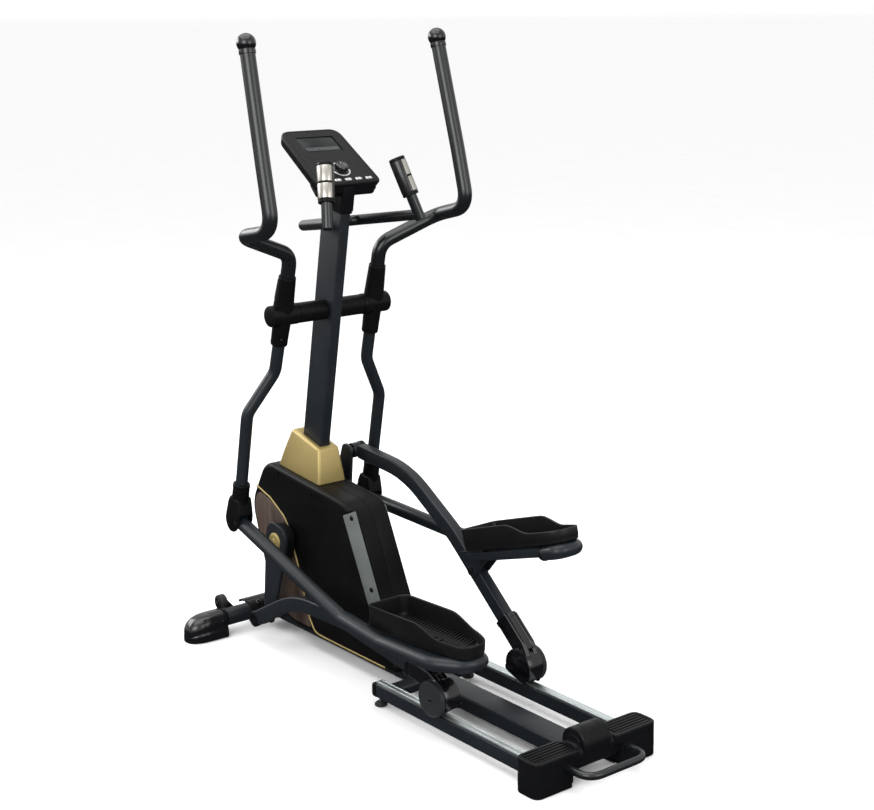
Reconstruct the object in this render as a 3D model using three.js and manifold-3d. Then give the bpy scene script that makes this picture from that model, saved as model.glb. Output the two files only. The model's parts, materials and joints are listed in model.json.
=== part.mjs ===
// An elliptical trainer with a front-mounted crank and rear rollers on rails, in millimetres.
// +X is the way the user faces, +Y the user's left, +Z up. The floor is z = 0.
// Lengths along X are counted from the rear face of the rear feet, and the whole object is
// shifted at the end so that the origin is under the middle of its bounding box.
import * as THREE from "three";
import { mergeVertices } from "three/addons/utils/BufferGeometryUtils.js";
import Module from "manifold-3d";

const wasm = await Module();
wasm.setup();

// ---------------------------------------------------------------- driving dimensions
const GAP = 0.3; // between pieces that touch
const RUNNING = 0.4; // radial clearance of a turning fit
const WALL = 2; // steel tube wall
const LEFT = 1;
const RIGHT = -1;
const degrees = THREE.MathUtils.degToRad;

// The linkage, all in planes parallel to XZ.
const crank = { x: 1175, z: 299, throw: 237, pinAngle: degrees(12), pinRadius: 9, hubRadius: 50, endRadius: 21 };
const roller = { z: 107, y: 144.5, wheelRadius: 41.2, wheelWidth: 26 };
const rollerArm = { length: 824, y: 144.5, width: 30, height: 40, barrelRadius: 21, boreRadius: 18 };
const pedalHinge = { fromPin: 555, above: 82 };
const link = { length: 566, y: 209, tubeRadius: 19, eyeBore: 13 };
// The link's tube curls round the heel; start, heel and end are counted back from the hinge.
const curl = { start: 316, heel: 384, end: 334, corner: 160, inner: 100 };
const swing = { x: 1047, z: 960, foot: [-10, 209, -604], pinRadius: 8, hubY: 147 };
const pedalTilt = degrees(22.3); // from the link's line down to the pedal's plane

// The frame.
const beam = { rear: 62, front: 1308, halfWidth: 37, bottom: 22, top: 60 };
const crossMember = { rear: 598, front: 642, bottom: 30, top: 54 };
const rail = { rear: 60.5, front: 663, y: 144.5, halfWidth: 16.5, bottom: 26, top: 62 };
const track = { rear: 84, front: 650, halfWidth: 12, thickness: 3.2 };
const rearFoot = { depth: 77, inner: 76, outer: 194.5, height: 86, wall: 4 };
const rearBar = { x0: 18, x1: 60, z0: 28, z1: 66, halfLength: 184 };
const rearBridge = { x0: 8, x1: 68, z0: 38, z1: 79 };
const hump = { x: 42, z: 80, radius: 40, halfLength: 42 };
const carryHandle = { reach: -66, y: 94, z: 50, tubeRadius: 9.5 };
const levellingFoot = { x: 647, radius: 16, height: 12, stemRadius: 5, stemTop: 40 };
const frontTube = { x: 1336, z: 47, radius: 25, halfLength: 240 };
const saddle = { thickness: 5.5, halfLength: 112, lip: 14, heel: 8 };
const frontCap = { inner: 195, outer: 312, radius: 35 };
const transportWheel = { x: 1385, z: 74, y: 167, radius: 23, width: 20 };
const mast = { lean: degrees(10.54), depth: 89, width: 30, top: 1262, wall: 2.5 };
const crossbar = { axleRadius: 14, sleeveRadius: 27, sleeveEnd: 104.5, axleEnd: 182 };
const shroud = { halfWidth: 62, wall: 4, edge: 12 };
const boot = { rear: 1050, front: 1247, halfWidth: 46, wall: 4 };
const bootTop = { rear: 1064, front: 1192, halfWidth: 34, rearZ: 572, frontZ: 608 };
const fixedBar = { x: 1036, z: 1190, radius: 14, frontY: 88, bend: 36, gripRadius: 22 };
const console_ = { x: 1028.5, z: 1364, tilt: degrees(33.5), length: 231, halfWidth: 100, thickness: 30 };
const pulley = { radius: 130, y0: -46, y1: -30 };
const flywheel = { x: 905, z: 232, radius: 100, y0: -14, y1: 22, pulleyRadius: 20 };
const belt = { thickness: 3, clearance: 1.3, y0: -44, y1: -32 };

// ---------------------------------------------------------------- materials
const finish = (color, roughness, metalness) =>
  new THREE.MeshStandardMaterial({ color, roughness, metalness });
const paintedSteel = finish("#24282c", 0.45, 0.5);
const blackPlastic = finish("#17181a", 0.55, 0);
const glossPlastic = finish("#101113", 0.25, 0);
const goldPaint = finish("#b9a468", 0.38, 0.6);
const walnut = finish("#4a372d", 0.5, 0);
const aluminium = finish("#b9c2c4", 0.35, 0.9);
const castIron = finish("#3a3c3e", 0.6, 0.8);
const rubber = finish("#141414", 0.85, 0);
const foam = finish("#1a1b1d", 0.75, 0);
const glass = finish("#20262a", 0.12, 0);
const silver = finish("#b4b6b8", 0.3, 0.8);

// ---------------------------------------------------------------- solids
const flat = (geometry) => (geometry.index ? geometry.toNonIndexed() : geometry);

function solid(geometry) {
  const bare = flat(geometry).clone();
  bare.deleteAttribute("normal");
  bare.deleteAttribute("uv");
  const merged = mergeVertices(bare, 1e-3);
  return new wasm.Manifold(
    new wasm.Mesh({
      numProp: 3,
      vertProperties: new Float32Array(merged.attributes.position.array),
      triVerts: new Uint32Array(merged.index.array),
    }),
  );
}

function geometryOf(manifold) {
  const mesh = manifold.getMesh();
  const geometry = new THREE.BufferGeometry();
  geometry.setAttribute("position", new THREE.BufferAttribute(new Float32Array(mesh.vertProperties), 3));
  geometry.setIndex(new THREE.BufferAttribute(new Uint32Array(mesh.triVerts), 1));
  return geometry;
}

const join = (...pieces) => pieces.map(solid).reduce((sum, piece) => sum.add(piece));
const cut = (body, ...tools) => tools.map(solid).reduce((rest, tool) => rest.subtract(tool), body);

function box(x0, x1, y0, y1, z0, z1) {
  const geometry = new THREE.BoxGeometry(x1 - x0, y1 - y0, z1 - z0);
  return geometry.translate((x0 + x1) / 2, (y0 + y1) / 2, (z0 + z1) / 2);
}

// A cylinder along Y from y0 to y1.
function barY(radius, y0, y1, x = 0, z = 0, sides = 14) {
  return new THREE.CylinderGeometry(radius, radius, y1 - y0, sides).translate(x, (y0 + y1) / 2, z);
}

// The cutter of a round hole along Y: its flats, not its corners, lie at the radius.
function holeY(radius, y0, y1, x = 0, z = 0, sides = 16) {
  return barY(radius / Math.cos(Math.PI / sides), y0, y1, x, z, sides);
}

// A cylinder or cone along Z from z0 (radius r0) to z1 (radius r1).
function coneZ(r0, r1, z0, z1, x = 0, y = 0, sides = 14) {
  const geometry = new THREE.CylinderGeometry(r1, r0, z1 - z0, sides).rotateX(Math.PI / 2);
  return geometry.translate(x, y, (z0 + z1) / 2);
}

// A body of revolution about Y from a closed list of [radius, y].
function ringY(profile, sides = 32) {
  const points = [...profile, profile[0]].map(([radius, y]) => new THREE.Vector2(radius, y));
  return new THREE.LatheGeometry(points, sides);
}

// A closed outline whose corners are [x, z, fillet]; a fillet takes at most half of each edge.
function outline(corners) {
  const shape = new THREE.Shape();
  const at = (i) => new THREE.Vector2(...corners[(i + corners.length) % corners.length].slice(0, 2));
  corners.forEach(([, , wanted = 0], i) => {
    const here = at(i);
    const room = 0.49 * Math.min(here.distanceTo(at(i - 1)), here.distanceTo(at(i + 1)));
    const fillet = Math.min(wanted, room);
    const before = at(i - 1).sub(here).normalize().multiplyScalar(fillet).add(here);
    const after = at(i + 1).sub(here).normalize().multiplyScalar(fillet).add(here);
    if (i === 0) shape.moveTo(before.x, before.y);
    else shape.lineTo(before.x, before.y);
    if (fillet > 0) shape.quadraticCurveTo(here.x, here.y, after.x, after.y);
  });
  shape.closePath();
  return shape;
}

// The same outline moved inwards by d; the corners run anticlockwise.
function inset(corners, d) {
  const n = corners.length;
  return corners.map(([x, z, fillet = 0], i) => {
    const here = new THREE.Vector2(x, z);
    const into = here.clone().sub(new THREE.Vector2(...corners[(i + n - 1) % n].slice(0, 2))).normalize();
    const out = new THREE.Vector2(...corners[(i + 1) % n].slice(0, 2)).sub(here).normalize();
    const inwards = new THREE.Vector2(-into.y - out.y, into.x + out.x).normalize();
    const half = Math.abs(inwards.dot(new THREE.Vector2(-into.y, into.x)));
    const moved = here.addScaledVector(inwards, d / half);
    return [moved.x, moved.y, Math.max(fillet - d / 2, 0)];
  });
}

// An outline in XZ made into a plate from y0 to y1, with an optional rounded edge.
function plateY(shape, y0, y1, edge = 0, segments = 4) {
  const geometry = new THREE.ExtrudeGeometry(shape, {
    depth: y1 - y0 - 2 * edge,
    bevelEnabled: edge > 0,
    bevelThickness: edge,
    bevelSize: edge,
    bevelOffset: -edge,
    bevelSegments: 3,
    curveSegments: segments,
  });
  return geometry.rotateX(Math.PI / 2).translate(0, y1 - edge, 0);
}

// An outline in XY made into a plate from z0 to z1.
function plateZ(shape, z0, z1, edge = 0, segments = 4) {
  const geometry = new THREE.ExtrudeGeometry(shape, {
    depth: z1 - z0 - 2 * edge,
    bevelEnabled: edge > 0,
    bevelThickness: edge,
    bevelSize: edge,
    bevelOffset: -edge,
    bevelSegments: 2,
    curveSegments: segments,
  });
  return geometry.translate(0, 0, z0 + edge);
}

// A route of straight runs with round bends, stepped only in the bends.
class Route extends THREE.Curve {
  constructor(corners, bend, bendSteps = 3) {
    super();
    const points = corners.map((corner) => new THREE.Vector3(...corner));
    this.stops = [];
    const stop = (point, tangent) => this.stops.push({ point, tangent });
    const last = points.length - 1;
    stop(points[0], points[1].clone().sub(points[0]).normalize());
    for (let i = 1; i < last; i++) {
      const into = points[i].clone().sub(points[i - 1]);
      const out = points[i + 1].clone().sub(points[i]);
      const turn = into.angleTo(out);
      const room = Math.min(into.length(), out.length()) * 0.48;
      const reach = Math.min(bend * Math.tan(turn / 2), room);
      const from = points[i].clone().addScaledVector(into.normalize(), -reach);
      const to = points[i].clone().addScaledVector(out.normalize(), reach);
      const arc = new THREE.QuadraticBezierCurve3(from, points[i], to);
      for (let k = 0; k <= bendSteps; k++) {
        stop(arc.getPoint(k / bendSteps), arc.getTangent(k / bendSteps));
      }
    }
    stop(points[last], points[last].clone().sub(points[last - 1]).normalize());
  }
  stopAt(u) {
    return this.stops[Math.round(u * (this.stops.length - 1))];
  }
  getPoint(u) {
    return this.stopAt(u).point.clone();
  }
  getPointAt(u) {
    return this.getPoint(u);
  }
  getTangent(u) {
    return this.stopAt(u).tangent.clone();
  }
  getTangentAt(u) {
    return this.getTangent(u);
  }
}

function circle(radius) {
  const shape = new THREE.Shape();
  shape.absarc(0, 0, radius, 0, 2 * Math.PI);
  return shape;
}

function sweep(section, route, sides) {
  return new THREE.ExtrudeGeometry(section, {
    steps: route.stops.length - 1,
    extrudePath: route,
    curveSegments: sides / 2,
  });
}

// A round bar along a route, or a tube with open ends when it has a wall.
function tube(corners, radius, bend, wall = 0, sides = 8) {
  const section = circle(radius);
  if (wall > 0) section.holes.push(new THREE.Path().absarc(0, 0, radius - wall, 0, 2 * Math.PI, true));
  return sweep(section, new Route(corners, bend), sides);
}

// A block whose bottom and top are different rectangles: [x0, x1, halfWidth, zRear, zFront].
function taperedBlock(bottom, top) {
  const geometry = new THREE.BoxGeometry(2, 2, 2);
  const position = geometry.attributes.position;
  for (let i = 0; i < position.count; i++) {
    const [x0, x1, halfWidth, zRear, zFront] = position.getZ(i) > 0 ? top : bottom;
    const front = position.getX(i) > 0;
    position.setXYZ(i, front ? x1 : x0, position.getY(i) * halfWidth, front ? zFront : zRear);
  }
  return geometry;
}

// ---------------------------------------------------------------- assembly
const trainer = new THREE.Group();

function place(name, piece, material, parent = trainer) {
  const geometry = piece.isBufferGeometry ? piece : geometryOf(piece);
  const mesh = new THREE.Mesh(geometry, material);
  mesh.name = name;
  parent.add(mesh);
  return mesh;
}

// A group for one side of the object: built for the left, mirrored for the right.
function sideGroup(side, parent = trainer) {
  const group = new THREE.Group();
  group.scale.y = side;
  parent.add(group);
  return group;
}

const sideName = (side) => (side === LEFT ? "left" : "right");

// A group at a pivot in XZ, turned about Y so that its own X axis rises by the given angle.
function pivotGroup(parent, x, z, rise) {
  const group = new THREE.Group();
  group.position.set(x, 0, z);
  group.rotation.y = -rise;
  parent.add(group);
  return group;
}

// Where the joints of one side are at rest.
function linkagePose(side) {
  const angle = crank.pinAngle + (side === LEFT ? 0 : Math.PI);
  const pin = new THREE.Vector2(crank.x + crank.throw * Math.sin(angle), crank.z - crank.throw * Math.cos(angle));
  const drop = pin.y - roller.z;
  const axle = new THREE.Vector2(pin.x - Math.sqrt(rollerArm.length ** 2 - drop ** 2), roller.z);
  const rise = Math.asin(drop / rollerArm.length);
  const hinge = new THREE.Vector2(rollerArm.length - pedalHinge.fromPin, pedalHinge.above)
    .rotateAround(new THREE.Vector2(), rise)
    .add(axle);
  const top = new THREE.Vector2(swing.x, swing.z);
  const [footX, , footZ] = swing.foot;
  const swingLength = Math.hypot(footX, footZ);
  const span = top.clone().sub(hinge);
  const along = (link.length ** 2 - swingLength ** 2 + span.lengthSq()) / (2 * span.length());
  const across = Math.sqrt(link.length ** 2 - along ** 2);
  const unit = span.normalize();
  const foot = hinge.clone().addScaledVector(unit, along).add(new THREE.Vector2(unit.y, -unit.x).multiplyScalar(across));
  const linkRise = Math.atan2(foot.y - hinge.y, foot.x - hinge.x);
  const hang = foot.clone().sub(top);
  const swingRise = Math.atan2(hang.y, hang.x) - Math.atan2(footZ, footX);
  return { angle, axle, rise, hinge, linkRise, swingRise };
}

// ---------------------------------------------------------------- frame
function makeMainBeam() {
  const tubeOuter = box(beam.rear, beam.front, -beam.halfWidth, beam.halfWidth, beam.bottom, beam.top);
  const bore = box(beam.rear - 1, beam.front - 30, -beam.halfWidth + WALL, beam.halfWidth - WALL,
    beam.bottom + WALL, beam.top - WALL);
  const crossHalf = rail.y - rail.halfWidth - GAP;
  const crossTube = box(crossMember.rear, crossMember.front, -crossHalf, crossHalf, crossMember.bottom,
    crossMember.top);
  // The saddle cups the front tube from behind and above.
  const saddleOuter = barY(frontTube.radius + saddle.thickness, -saddle.halfLength, saddle.halfLength,
    frontTube.x, frontTube.z, 24);
  const saddleInner = holeY(frontTube.radius + GAP, -120, 120, frontTube.x, frontTube.z, 24);
  const frontHalf = box(frontTube.x + saddle.lip, frontTube.x + 60, -120, 120, -10, 120);
  const underHalf = box(frontTube.x - saddle.heel, frontTube.x + 60, -120, 120, -10, frontTube.z);
  // A side plate and a fixed axle carry the flywheel.
  const bearingPlate = plateY(outline([
    [flywheel.x - 55, beam.top - 1, 0],
    [flywheel.x + 55, beam.top - 1, 0],
    [flywheel.x + 20, flywheel.z + 18, 14],
    [flywheel.x - 20, flywheel.z + 18, 14],
  ]), 30, 35);
  const flywheelAxle = barY(8, pulley.y0 - 4, 31, flywheel.x, flywheel.z);
  const shell = cut(join(tubeOuter, saddleOuter), bore, saddleInner, frontHalf, underHalf);
  const extras = join(crossTube, bearingPlate, flywheelAxle);
  place("main_beam", shell.add(extras), paintedSteel);
}

function makeFrontStabilizer() {
  const { x, z, radius, halfLength } = frontTube;
  const bracketReach = (y) => plateY(outline([
    [x + 4, z - 4, 3],
    [transportWheel.x + 8, transportWheel.z - 8, 7],
    [transportWheel.x + 4, transportWheel.z + 10, 7],
    [x - 4, z + 22, 3],
  ]), y - 2, y + 2);
  const inside = transportWheel.width / 2 + 3;
  const brackets = [LEFT, RIGHT].flatMap((side) => {
    const y = side * transportWheel.y;
    return [
      bracketReach(y - inside),
      bracketReach(y + inside),
      barY(4, y - inside, y + inside, transportWheel.x, transportWheel.z, 12),
    ];
  });
  const body = join(barY(radius, -halfLength, halfLength, x, z, 20), ...brackets);
  place("front_stabilizer", cut(body, barY(radius - 2.5, -halfLength - 1, halfLength + 1, x, z, 20)), paintedSteel);
}

function makeFrontCap(group, side) {
  const { radius, inner, outer } = frontCap;
  const { x, z } = frontTube;
  const section = outline([
    [x - radius, 0, 4],
    [x + radius, 0, 4],
    [x + radius, z, 12],
    [x + radius - 16, z + radius - 2, 16],
    [x - radius + 16, z + radius - 2, 16],
    [x - radius, z, 12],
  ]);
  // Rounded off at its outer end, seen from above and from the front.
  const plan = outline([
    [x - radius, inner, 2],
    [x + radius, inner, 2],
    [x + radius, outer, 34],
    [x - radius, outer, 34],
  ]);
  const front = outline([
    [inner, 0],
    [outer, 0, 8],
    [outer, z + radius, 46],
    [inner, z + radius],
  ]);
  const body = solid(plateY(section, inner, outer))
    .intersect(solid(plateZ(plan, 0, 100)))
    .intersect(solid(plateY(front, -x - 60, -x + 60).rotateZ(Math.PI / 2)));
  const socket = holeY(frontTube.radius + GAP, inner - 1, frontTube.halfLength + 2, x, z, 20);
  place(`front_cap_${sideName(side)}`, cut(body, socket), blackPlastic, group);
}

function makeTransportWheel(group, side) {
  const { x, y, z, radius, width } = transportWheel;
  const half = width / 2;
  const wheel = ringY([
    [4 + RUNNING, -half],
    [9, -half],
    [9, -3],
    [16, -3],
    [16, -half],
    [radius - 3, -half],
    [radius, -half + 4],
    [radius, half - 4],
    [radius - 3, half],
    [16, half],
    [16, 3],
    [9, 3],
    [9, half],
    [4 + RUNNING, half],
  ], 16).translate(x, y, z);
  place(`transport_wheel_${sideName(side)}`, wheel, rubber, group);
}

function makeRail(group, side) {
  const y0 = rail.y - rail.halfWidth;
  const y1 = rail.y + rail.halfWidth;
  const body = solid(box(rail.rear, rail.front, y0, y1, rail.bottom, rail.top));
  const bore = box(rail.rear - 1, rail.front - 12, y0 + WALL, y1 - WALL, rail.bottom + WALL, rail.top - WALL);
  const thread = coneZ(levellingFoot.stemRadius + GAP, levellingFoot.stemRadius + GAP, rail.bottom - 1,
    rail.bottom + 5, levellingFoot.x, rail.y, 16);
  const stemRoom = box(levellingFoot.x - 8, levellingFoot.x + 8, rail.y - 8, rail.y + 8, rail.bottom + WALL,
    levellingFoot.stemTop + 2);
  place(`rail_${sideName(side)}`, cut(body, bore, thread, stemRoom), paintedSteel, group);
  const { thickness, halfWidth } = track;
  const strip = box(track.rear, track.front, rail.y - halfWidth, rail.y + halfWidth, rail.top + GAP,
    rail.top + thickness);
  place(`rail_track_${sideName(side)}`, strip, aluminium, group);
}

function makeLevellingFoot(group, side) {
  const { radius, height, stemRadius, stemTop, x } = levellingFoot;
  const foot = ringY([
    [0, 0],
    [radius, 0],
    [radius, height - 4],
    [radius - 5, height],
    [stemRadius, height],
    [stemRadius, stemTop],
    [0, stemTop],
  ], 16).rotateX(Math.PI / 2).translate(x, rail.y, 0);
  place(`levelling_foot_${sideName(side)}`, foot, rubber, group);
}

function makeRearStabilizer() {
  const bar = box(rearBar.x0, rearBar.x1, -rearBar.halfLength, rearBar.halfLength, rearBar.z0, rearBar.z1);
  const bridgeHalf = rearFoot.inner - GAP;
  const bridge = box(rearBridge.x0, rearBridge.x1, -bridgeHalf, bridgeHalf, rearBridge.z0, rearBridge.z1);
  const roundHump = barY(hump.radius, -hump.halfLength, hump.halfLength, hump.x, hump.z, 24);
  const { reach, y, z, tubeRadius } = carryHandle;
  const handle = tube([[30, y, z], [reach, y, z], [reach, -y, z], [30, -y, z]], tubeRadius, 42);
  const beamRoom = box(beam.rear - GAP, beam.rear + 60, -beam.halfWidth - GAP, beam.halfWidth + GAP,
    beam.bottom - 5, beam.top + GAP);
  place("rear_stabilizer", cut(join(bar, bridge, roundHump, handle), beamRoom), blackPlastic);
}

function makeRearFoot(group, side) {
  const { depth, inner, outer, height, wall } = rearFoot;
  const footprint = (d) => outline([
    [d, inner + d, 9],
    [depth - d, inner + d, 9],
    [depth - d, outer - d, 20],
    [d, outer - d, 20],
  ]);
  const body = solid(plateZ(footprint(0), -10, height, 4)).subtract(solid(box(-5, 90, 60, 210, -20, 0)));
  const hollow = plateZ(footprint(wall + 2), -1, height - wall - 4);
  const barRoom = box(rearBar.x0 - GAP, rearBar.x1 + GAP, inner - 1, rearBar.halfLength + GAP,
    rearBar.z0 - 30, rearBar.z1 + GAP);
  const railRoom = box(rearBar.x1 - 2, depth + 1, rail.y - rail.halfWidth - GAP, rail.y + rail.halfWidth + GAP,
    rail.bottom - GAP, rail.top + GAP);
  const handleRoom = box(-1, 30, carryHandle.y - 10, carryHandle.y + 10, carryHandle.z - 60, carryHandle.z + 10);
  const trackRoom = box(depth - 8, depth + 1, rail.y - track.halfWidth - 1, rail.y + track.halfWidth + 1,
    rail.top, rail.top + track.thickness + 1);
  const foot = cut(body, hollow, barRoom, railRoom, handleRoom, trackRoom);
  place(`rear_foot_${sideName(side)}`, foot, blackPlastic, group);
}

// ---------------------------------------------------------------- mast, shroud and what they hold
// The mast leans back and its centre line crosses the crank's axis.
const mastX = (z) => crank.x - (z - crank.z) * Math.tan(mast.lean);

function mastPrism(extra, z0, z1) {
  const half = mast.depth / 2 + extra;
  const across = mast.width / 2 + extra;
  const height = (z1 - z0) / Math.cos(mast.lean);
  const prism = new THREE.BoxGeometry(2 * half, 2 * across, height);
  prism.rotateY(-mast.lean);
  return prism.translate(mastX((z0 + z1) / 2), 0, (z0 + z1) / 2);
}

function makeMast() {
  const outer = solid(mastPrism(0, 30, mast.top));
  const mastBore = mastPrism(-mast.wall, 20, mast.top + 20);
  const below = box(900, 1400, -60, 60, -10, beam.top + GAP);
  const axleHole = holeY(12 + RUNNING, -40, 40, crank.x, crank.z);
  const barHole = holeY(crossbar.axleRadius + GAP, -40, 40, swing.x, swing.z);
  const handleHole = holeY(fixedBar.radius + GAP, -40, 40, fixedBar.x, fixedBar.z);
  place("mast", cut(outer, mastBore, below, axleHole, barHole, handleHole), paintedSteel);
}

const shroudCorners = [
  [683, 43, 34],
  [1190, 43, 50],
  [1290, 112, 60],
  [1374, 362, 45],
  [1296, 500, 45],
  [877, 457, 60],
];

function makeShroud(group, side) {
  const { halfWidth, wall, edge } = shroud;
  const outer = solid(plateY(outline(shroudCorners), -halfWidth, halfWidth, edge, 3));
  const hollow = plateY(outline(inset(shroudCorners, wall)), -halfWidth + wall, halfWidth - wall, edge - 2, 3);
  const otherHalf = box(600, 1500, -100, GAP / 2, 0, 600);
  const beamRoom = box(600, 1400, -beam.halfWidth - 1, beam.halfWidth + 1, 0, beam.top + 1);
  const axleHole = holeY(20, 20, 100, crank.x, crank.z);
  const shell = cut(outer, hollow, otherHalf, beamRoom, mastPrism(0.6, 0, 700), axleHole);
  place(`shroud_${sideName(side)}`, shell, blackPlastic, group);
}

function makeWoodPanel(group, side) {
  const panel = outline([
    [1078, 62, 8],
    [1178, 62, 30],
    [1274, 126, 50],
    [1352, 358, 40],
    [1330, 405, 25],
    [1262, 388, 30],
    [1186, 345, 30],
    [1150, 255, 20],
    [1105, 130, 20],
  ]);
  const plate = solid(plateY(panel, shroud.halfWidth + GAP, shroud.halfWidth + 2.8));
  const axleHole = holeY(20, 20, 100, crank.x, crank.z);
  place(`wood_panel_${sideName(side)}`, cut(plate, axleHole), walnut, group);
}

// The height of the shroud's top between its last two corners.
function shroudTop(x) {
  const [[x0, z0], [x1, z1]] = shroudCorners.slice(-2);
  return z0 + ((x - x0) * (z1 - z0)) / (x1 - x0);
}

function makeBoot() {
  const { rear, front, halfWidth, wall } = boot;
  const foot = [shroudTop(rear), shroudTop(front)].map((z) => z + GAP);
  const top = bootTop;
  const outer = taperedBlock([rear, front, halfWidth, ...foot],
    [top.rear, top.front, top.halfWidth, top.rearZ, top.frontZ]);
  const inner = taperedBlock([rear + wall, front - wall, halfWidth - wall, foot[0] - 5, foot[1] - 5],
    [top.rear + wall, top.front - wall, top.halfWidth - wall, top.rearZ - wall - 2, top.frontZ - 2 * wall]);
  place("mast_boot", cut(solid(outer), inner, mastPrism(0.6, 400, 700)), goldPaint);
}

function makeCrossbar() {
  const { axleRadius, sleeveRadius, sleeveEnd, axleEnd } = crossbar;
  const start = mast.width / 2 + GAP;
  const pieces = [
    barY(axleRadius, -axleEnd, axleEnd, 0, 0, 20),
    barY(sleeveRadius, start, sleeveEnd, 0, 0, 20),
    barY(sleeveRadius, -sleeveEnd, -start, 0, 0, 20),
  ];
  place("crossbar", join(...pieces), blackPlastic).position.set(swing.x, 0, swing.z);
}

// The line of a pulse grip, from the bar's rear end up.
const gripFoot = [838, 144, 1218];
const gripLine = new THREE.Vector3(34, -22, 97).normalize();
const alongGrip = (distance) => gripLine.clone().multiplyScalar(distance).add(new THREE.Vector3(...gripFoot));

function makeFixedHandlebar() {
  const top = alongGrip(150).toArray();
  const mirrored = ([x, y, z]) => [x, -y, z];
  const leftHalf = [top, gripFoot, [fixedBar.x, fixedBar.frontY, fixedBar.z]];
  const corners = [...leftHalf, ...leftHalf.toReversed().map(mirrored)];
  place("fixed_handlebar", tube(corners, fixedBar.radius, fixedBar.bend, WALL), paintedSteel);
}

function makePulseGrip(group, side) {
  const length = 104;
  const bore = fixedBar.radius + GAP;
  const { gripRadius } = fixedBar;
  const grip = ringY([
    [bore, 0],
    [gripRadius - 2, 0],
    [gripRadius, 3],
    [gripRadius, length - 3],
    [gripRadius - 2, length],
    [0, length],
    [0, length - 3],
    [bore, length - 3],
  ], 20);
  const mesh = place(`pulse_grip_${sideName(side)}`, grip, foam, group);
  mesh.quaternion.setFromUnitVectors(new THREE.Vector3(0, 1, 0), gripLine);
  mesh.position.copy(alongGrip(52));
}

// ---------------------------------------------------------------- console
const buttonSpacing = 32.5;
const buttonRow = -99;
const knobPlace = -58;
const screenPlace = { x0: 22, x1: 82, halfWidth: 57 };

function makeConsole() {
  const { x, z, tilt, length, halfWidth, thickness } = console_;
  const group = pivotGroup(trainer, x, z, tilt);
  const half = length / 2;
  const plan = outline([
    [-half, -halfWidth, 22],
    [half, -halfWidth + 7, 30],
    [half, halfWidth - 7, 30],
    [-half, halfWidth, 22],
  ]);
  const slab = plateZ(plan, -thickness, 0, 6);
  const lip = plateZ(outline([
    [-half + 1, -halfWidth + 6, 14],
    [-half + 62, -halfWidth + 18, 10],
    [-half + 62, halfWidth - 18, 10],
    [-half + 1, halfWidth - 6, 14],
  ]), -thickness - 14, -10, 5);
  const inConsole = (geometry) => geometry.translate(-x, 0, -z).rotateY(tilt);
  const neck = inConsole(mastPrism(5, mast.top - 26, mast.top + 40));
  const screenRoom = box(screenPlace.x0 - GAP, screenPlace.x1 + GAP, -screenPlace.halfWidth - GAP,
    screenPlace.halfWidth + GAP, -3 - GAP, 5);
  const buttonRooms = [-2, -1, 0, 1, 2].map((i) => {
    const y = i * buttonSpacing;
    return box(buttonRow - 5 - GAP, buttonRow + 5 + GAP, y - 10 - GAP, y + 10 + GAP, -7, 5);
  });
  const knobRoom = coneZ(4 + RUNNING, 4 + RUNNING, -12, 5, knobPlace, 0, 16);
  // The neck takes the top of the mast.
  const mastRoom = inConsole(mastPrism(0.6, 1100, mast.top + 1));
  const caseBody = cut(join(slab, lip, neck), screenRoom, ...buttonRooms, knobRoom, mastRoom);
  place("console_case", caseBody, blackPlastic, group);

  const screen = box(screenPlace.x0, screenPlace.x1, -screenPlace.halfWidth, screenPlace.halfWidth, -3, -0.4);
  place("console_screen", screen, glass, group);

  const knob = ringY([
    [0, -10],
    [4, -10],
    [4, 0.6],
    [27, 0.6],
    [27, 3],
    [22, 5],
    [19, 15],
    [16, 17],
    [0, 17],
  ], 20).rotateX(Math.PI / 2).translate(knobPlace, 0, 0);
  place("console_knob", knob, glossPlastic, group);

  for (let i = 0; i < 5; i++) {
    const y = (2 - i) * buttonSpacing;
    const button = box(buttonRow - 5, buttonRow + 5, y - 10, y + 10, -4, 2.6);
    place(`console_button_${i + 1}`, button, silver, group);
  }
}

// ---------------------------------------------------------------- drive
function makeDrive() {
  const group = pivotGroup(trainer, crank.x, crank.z, 0);
  const hubHalf = 26;
  const axle = ringY([
    [0, -113],
    [10, -113],
    [10, -66],
    [12, -66],
    [12, 66],
    [10, 66],
    [10, 113],
    [0, 113],
  ], 16);
  place("crank_axle", axle, castIron, group);
  const { radius, y0, y1 } = pulley;
  const middle = (y0 + y1) / 2;
  const wheel = ringY([
    [12 + GAP, -hubHalf],
    [12 + GAP, y0],
    [22, y0],
    [22, middle - 3],
    [radius - 10, middle - 3],
    [radius - 10, y0],
    [radius, y0],
    [radius, y1],
    [radius - 10, y1],
    [radius - 10, middle + 3],
    [26, middle + 3],
    [26, -hubHalf],
  ], 28);
  place("drive_pulley", wheel, blackPlastic, group);

  const disc = ringY([
    [8 + RUNNING, y0],
    [flywheel.pulleyRadius, y0],
    [flywheel.pulleyRadius, y1],
    [16, y1],
    [16, flywheel.y0 + 10],
    [60, flywheel.y0 + 10],
    [60, flywheel.y0],
    [flywheel.radius, flywheel.y0],
    [flywheel.radius, flywheel.y1],
    [60, flywheel.y1],
    [60, flywheel.y0 + 22],
    [8 + RUNNING, flywheel.y0 + 22],
  ], 28).translate(flywheel.x, 0, flywheel.z);
  place("flywheel", disc, castIron);
}

// The belt's loop round the two pulleys, in a frame whose X axis joins their centres.
function beltLoop(extra) {
  const span = Math.hypot(crank.x - flywheel.x, crank.z - flywheel.z);
  const lean = Math.acos((pulley.radius - flywheel.pulleyRadius) / span);
  const shape = new THREE.Shape();
  shape.absarc(span, 0, pulley.radius + extra, -(Math.PI - lean), Math.PI - lean, false);
  shape.absarc(0, 0, flywheel.pulleyRadius + extra, Math.PI - lean, Math.PI + lean, false);
  shape.closePath();
  return shape;
}

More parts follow.
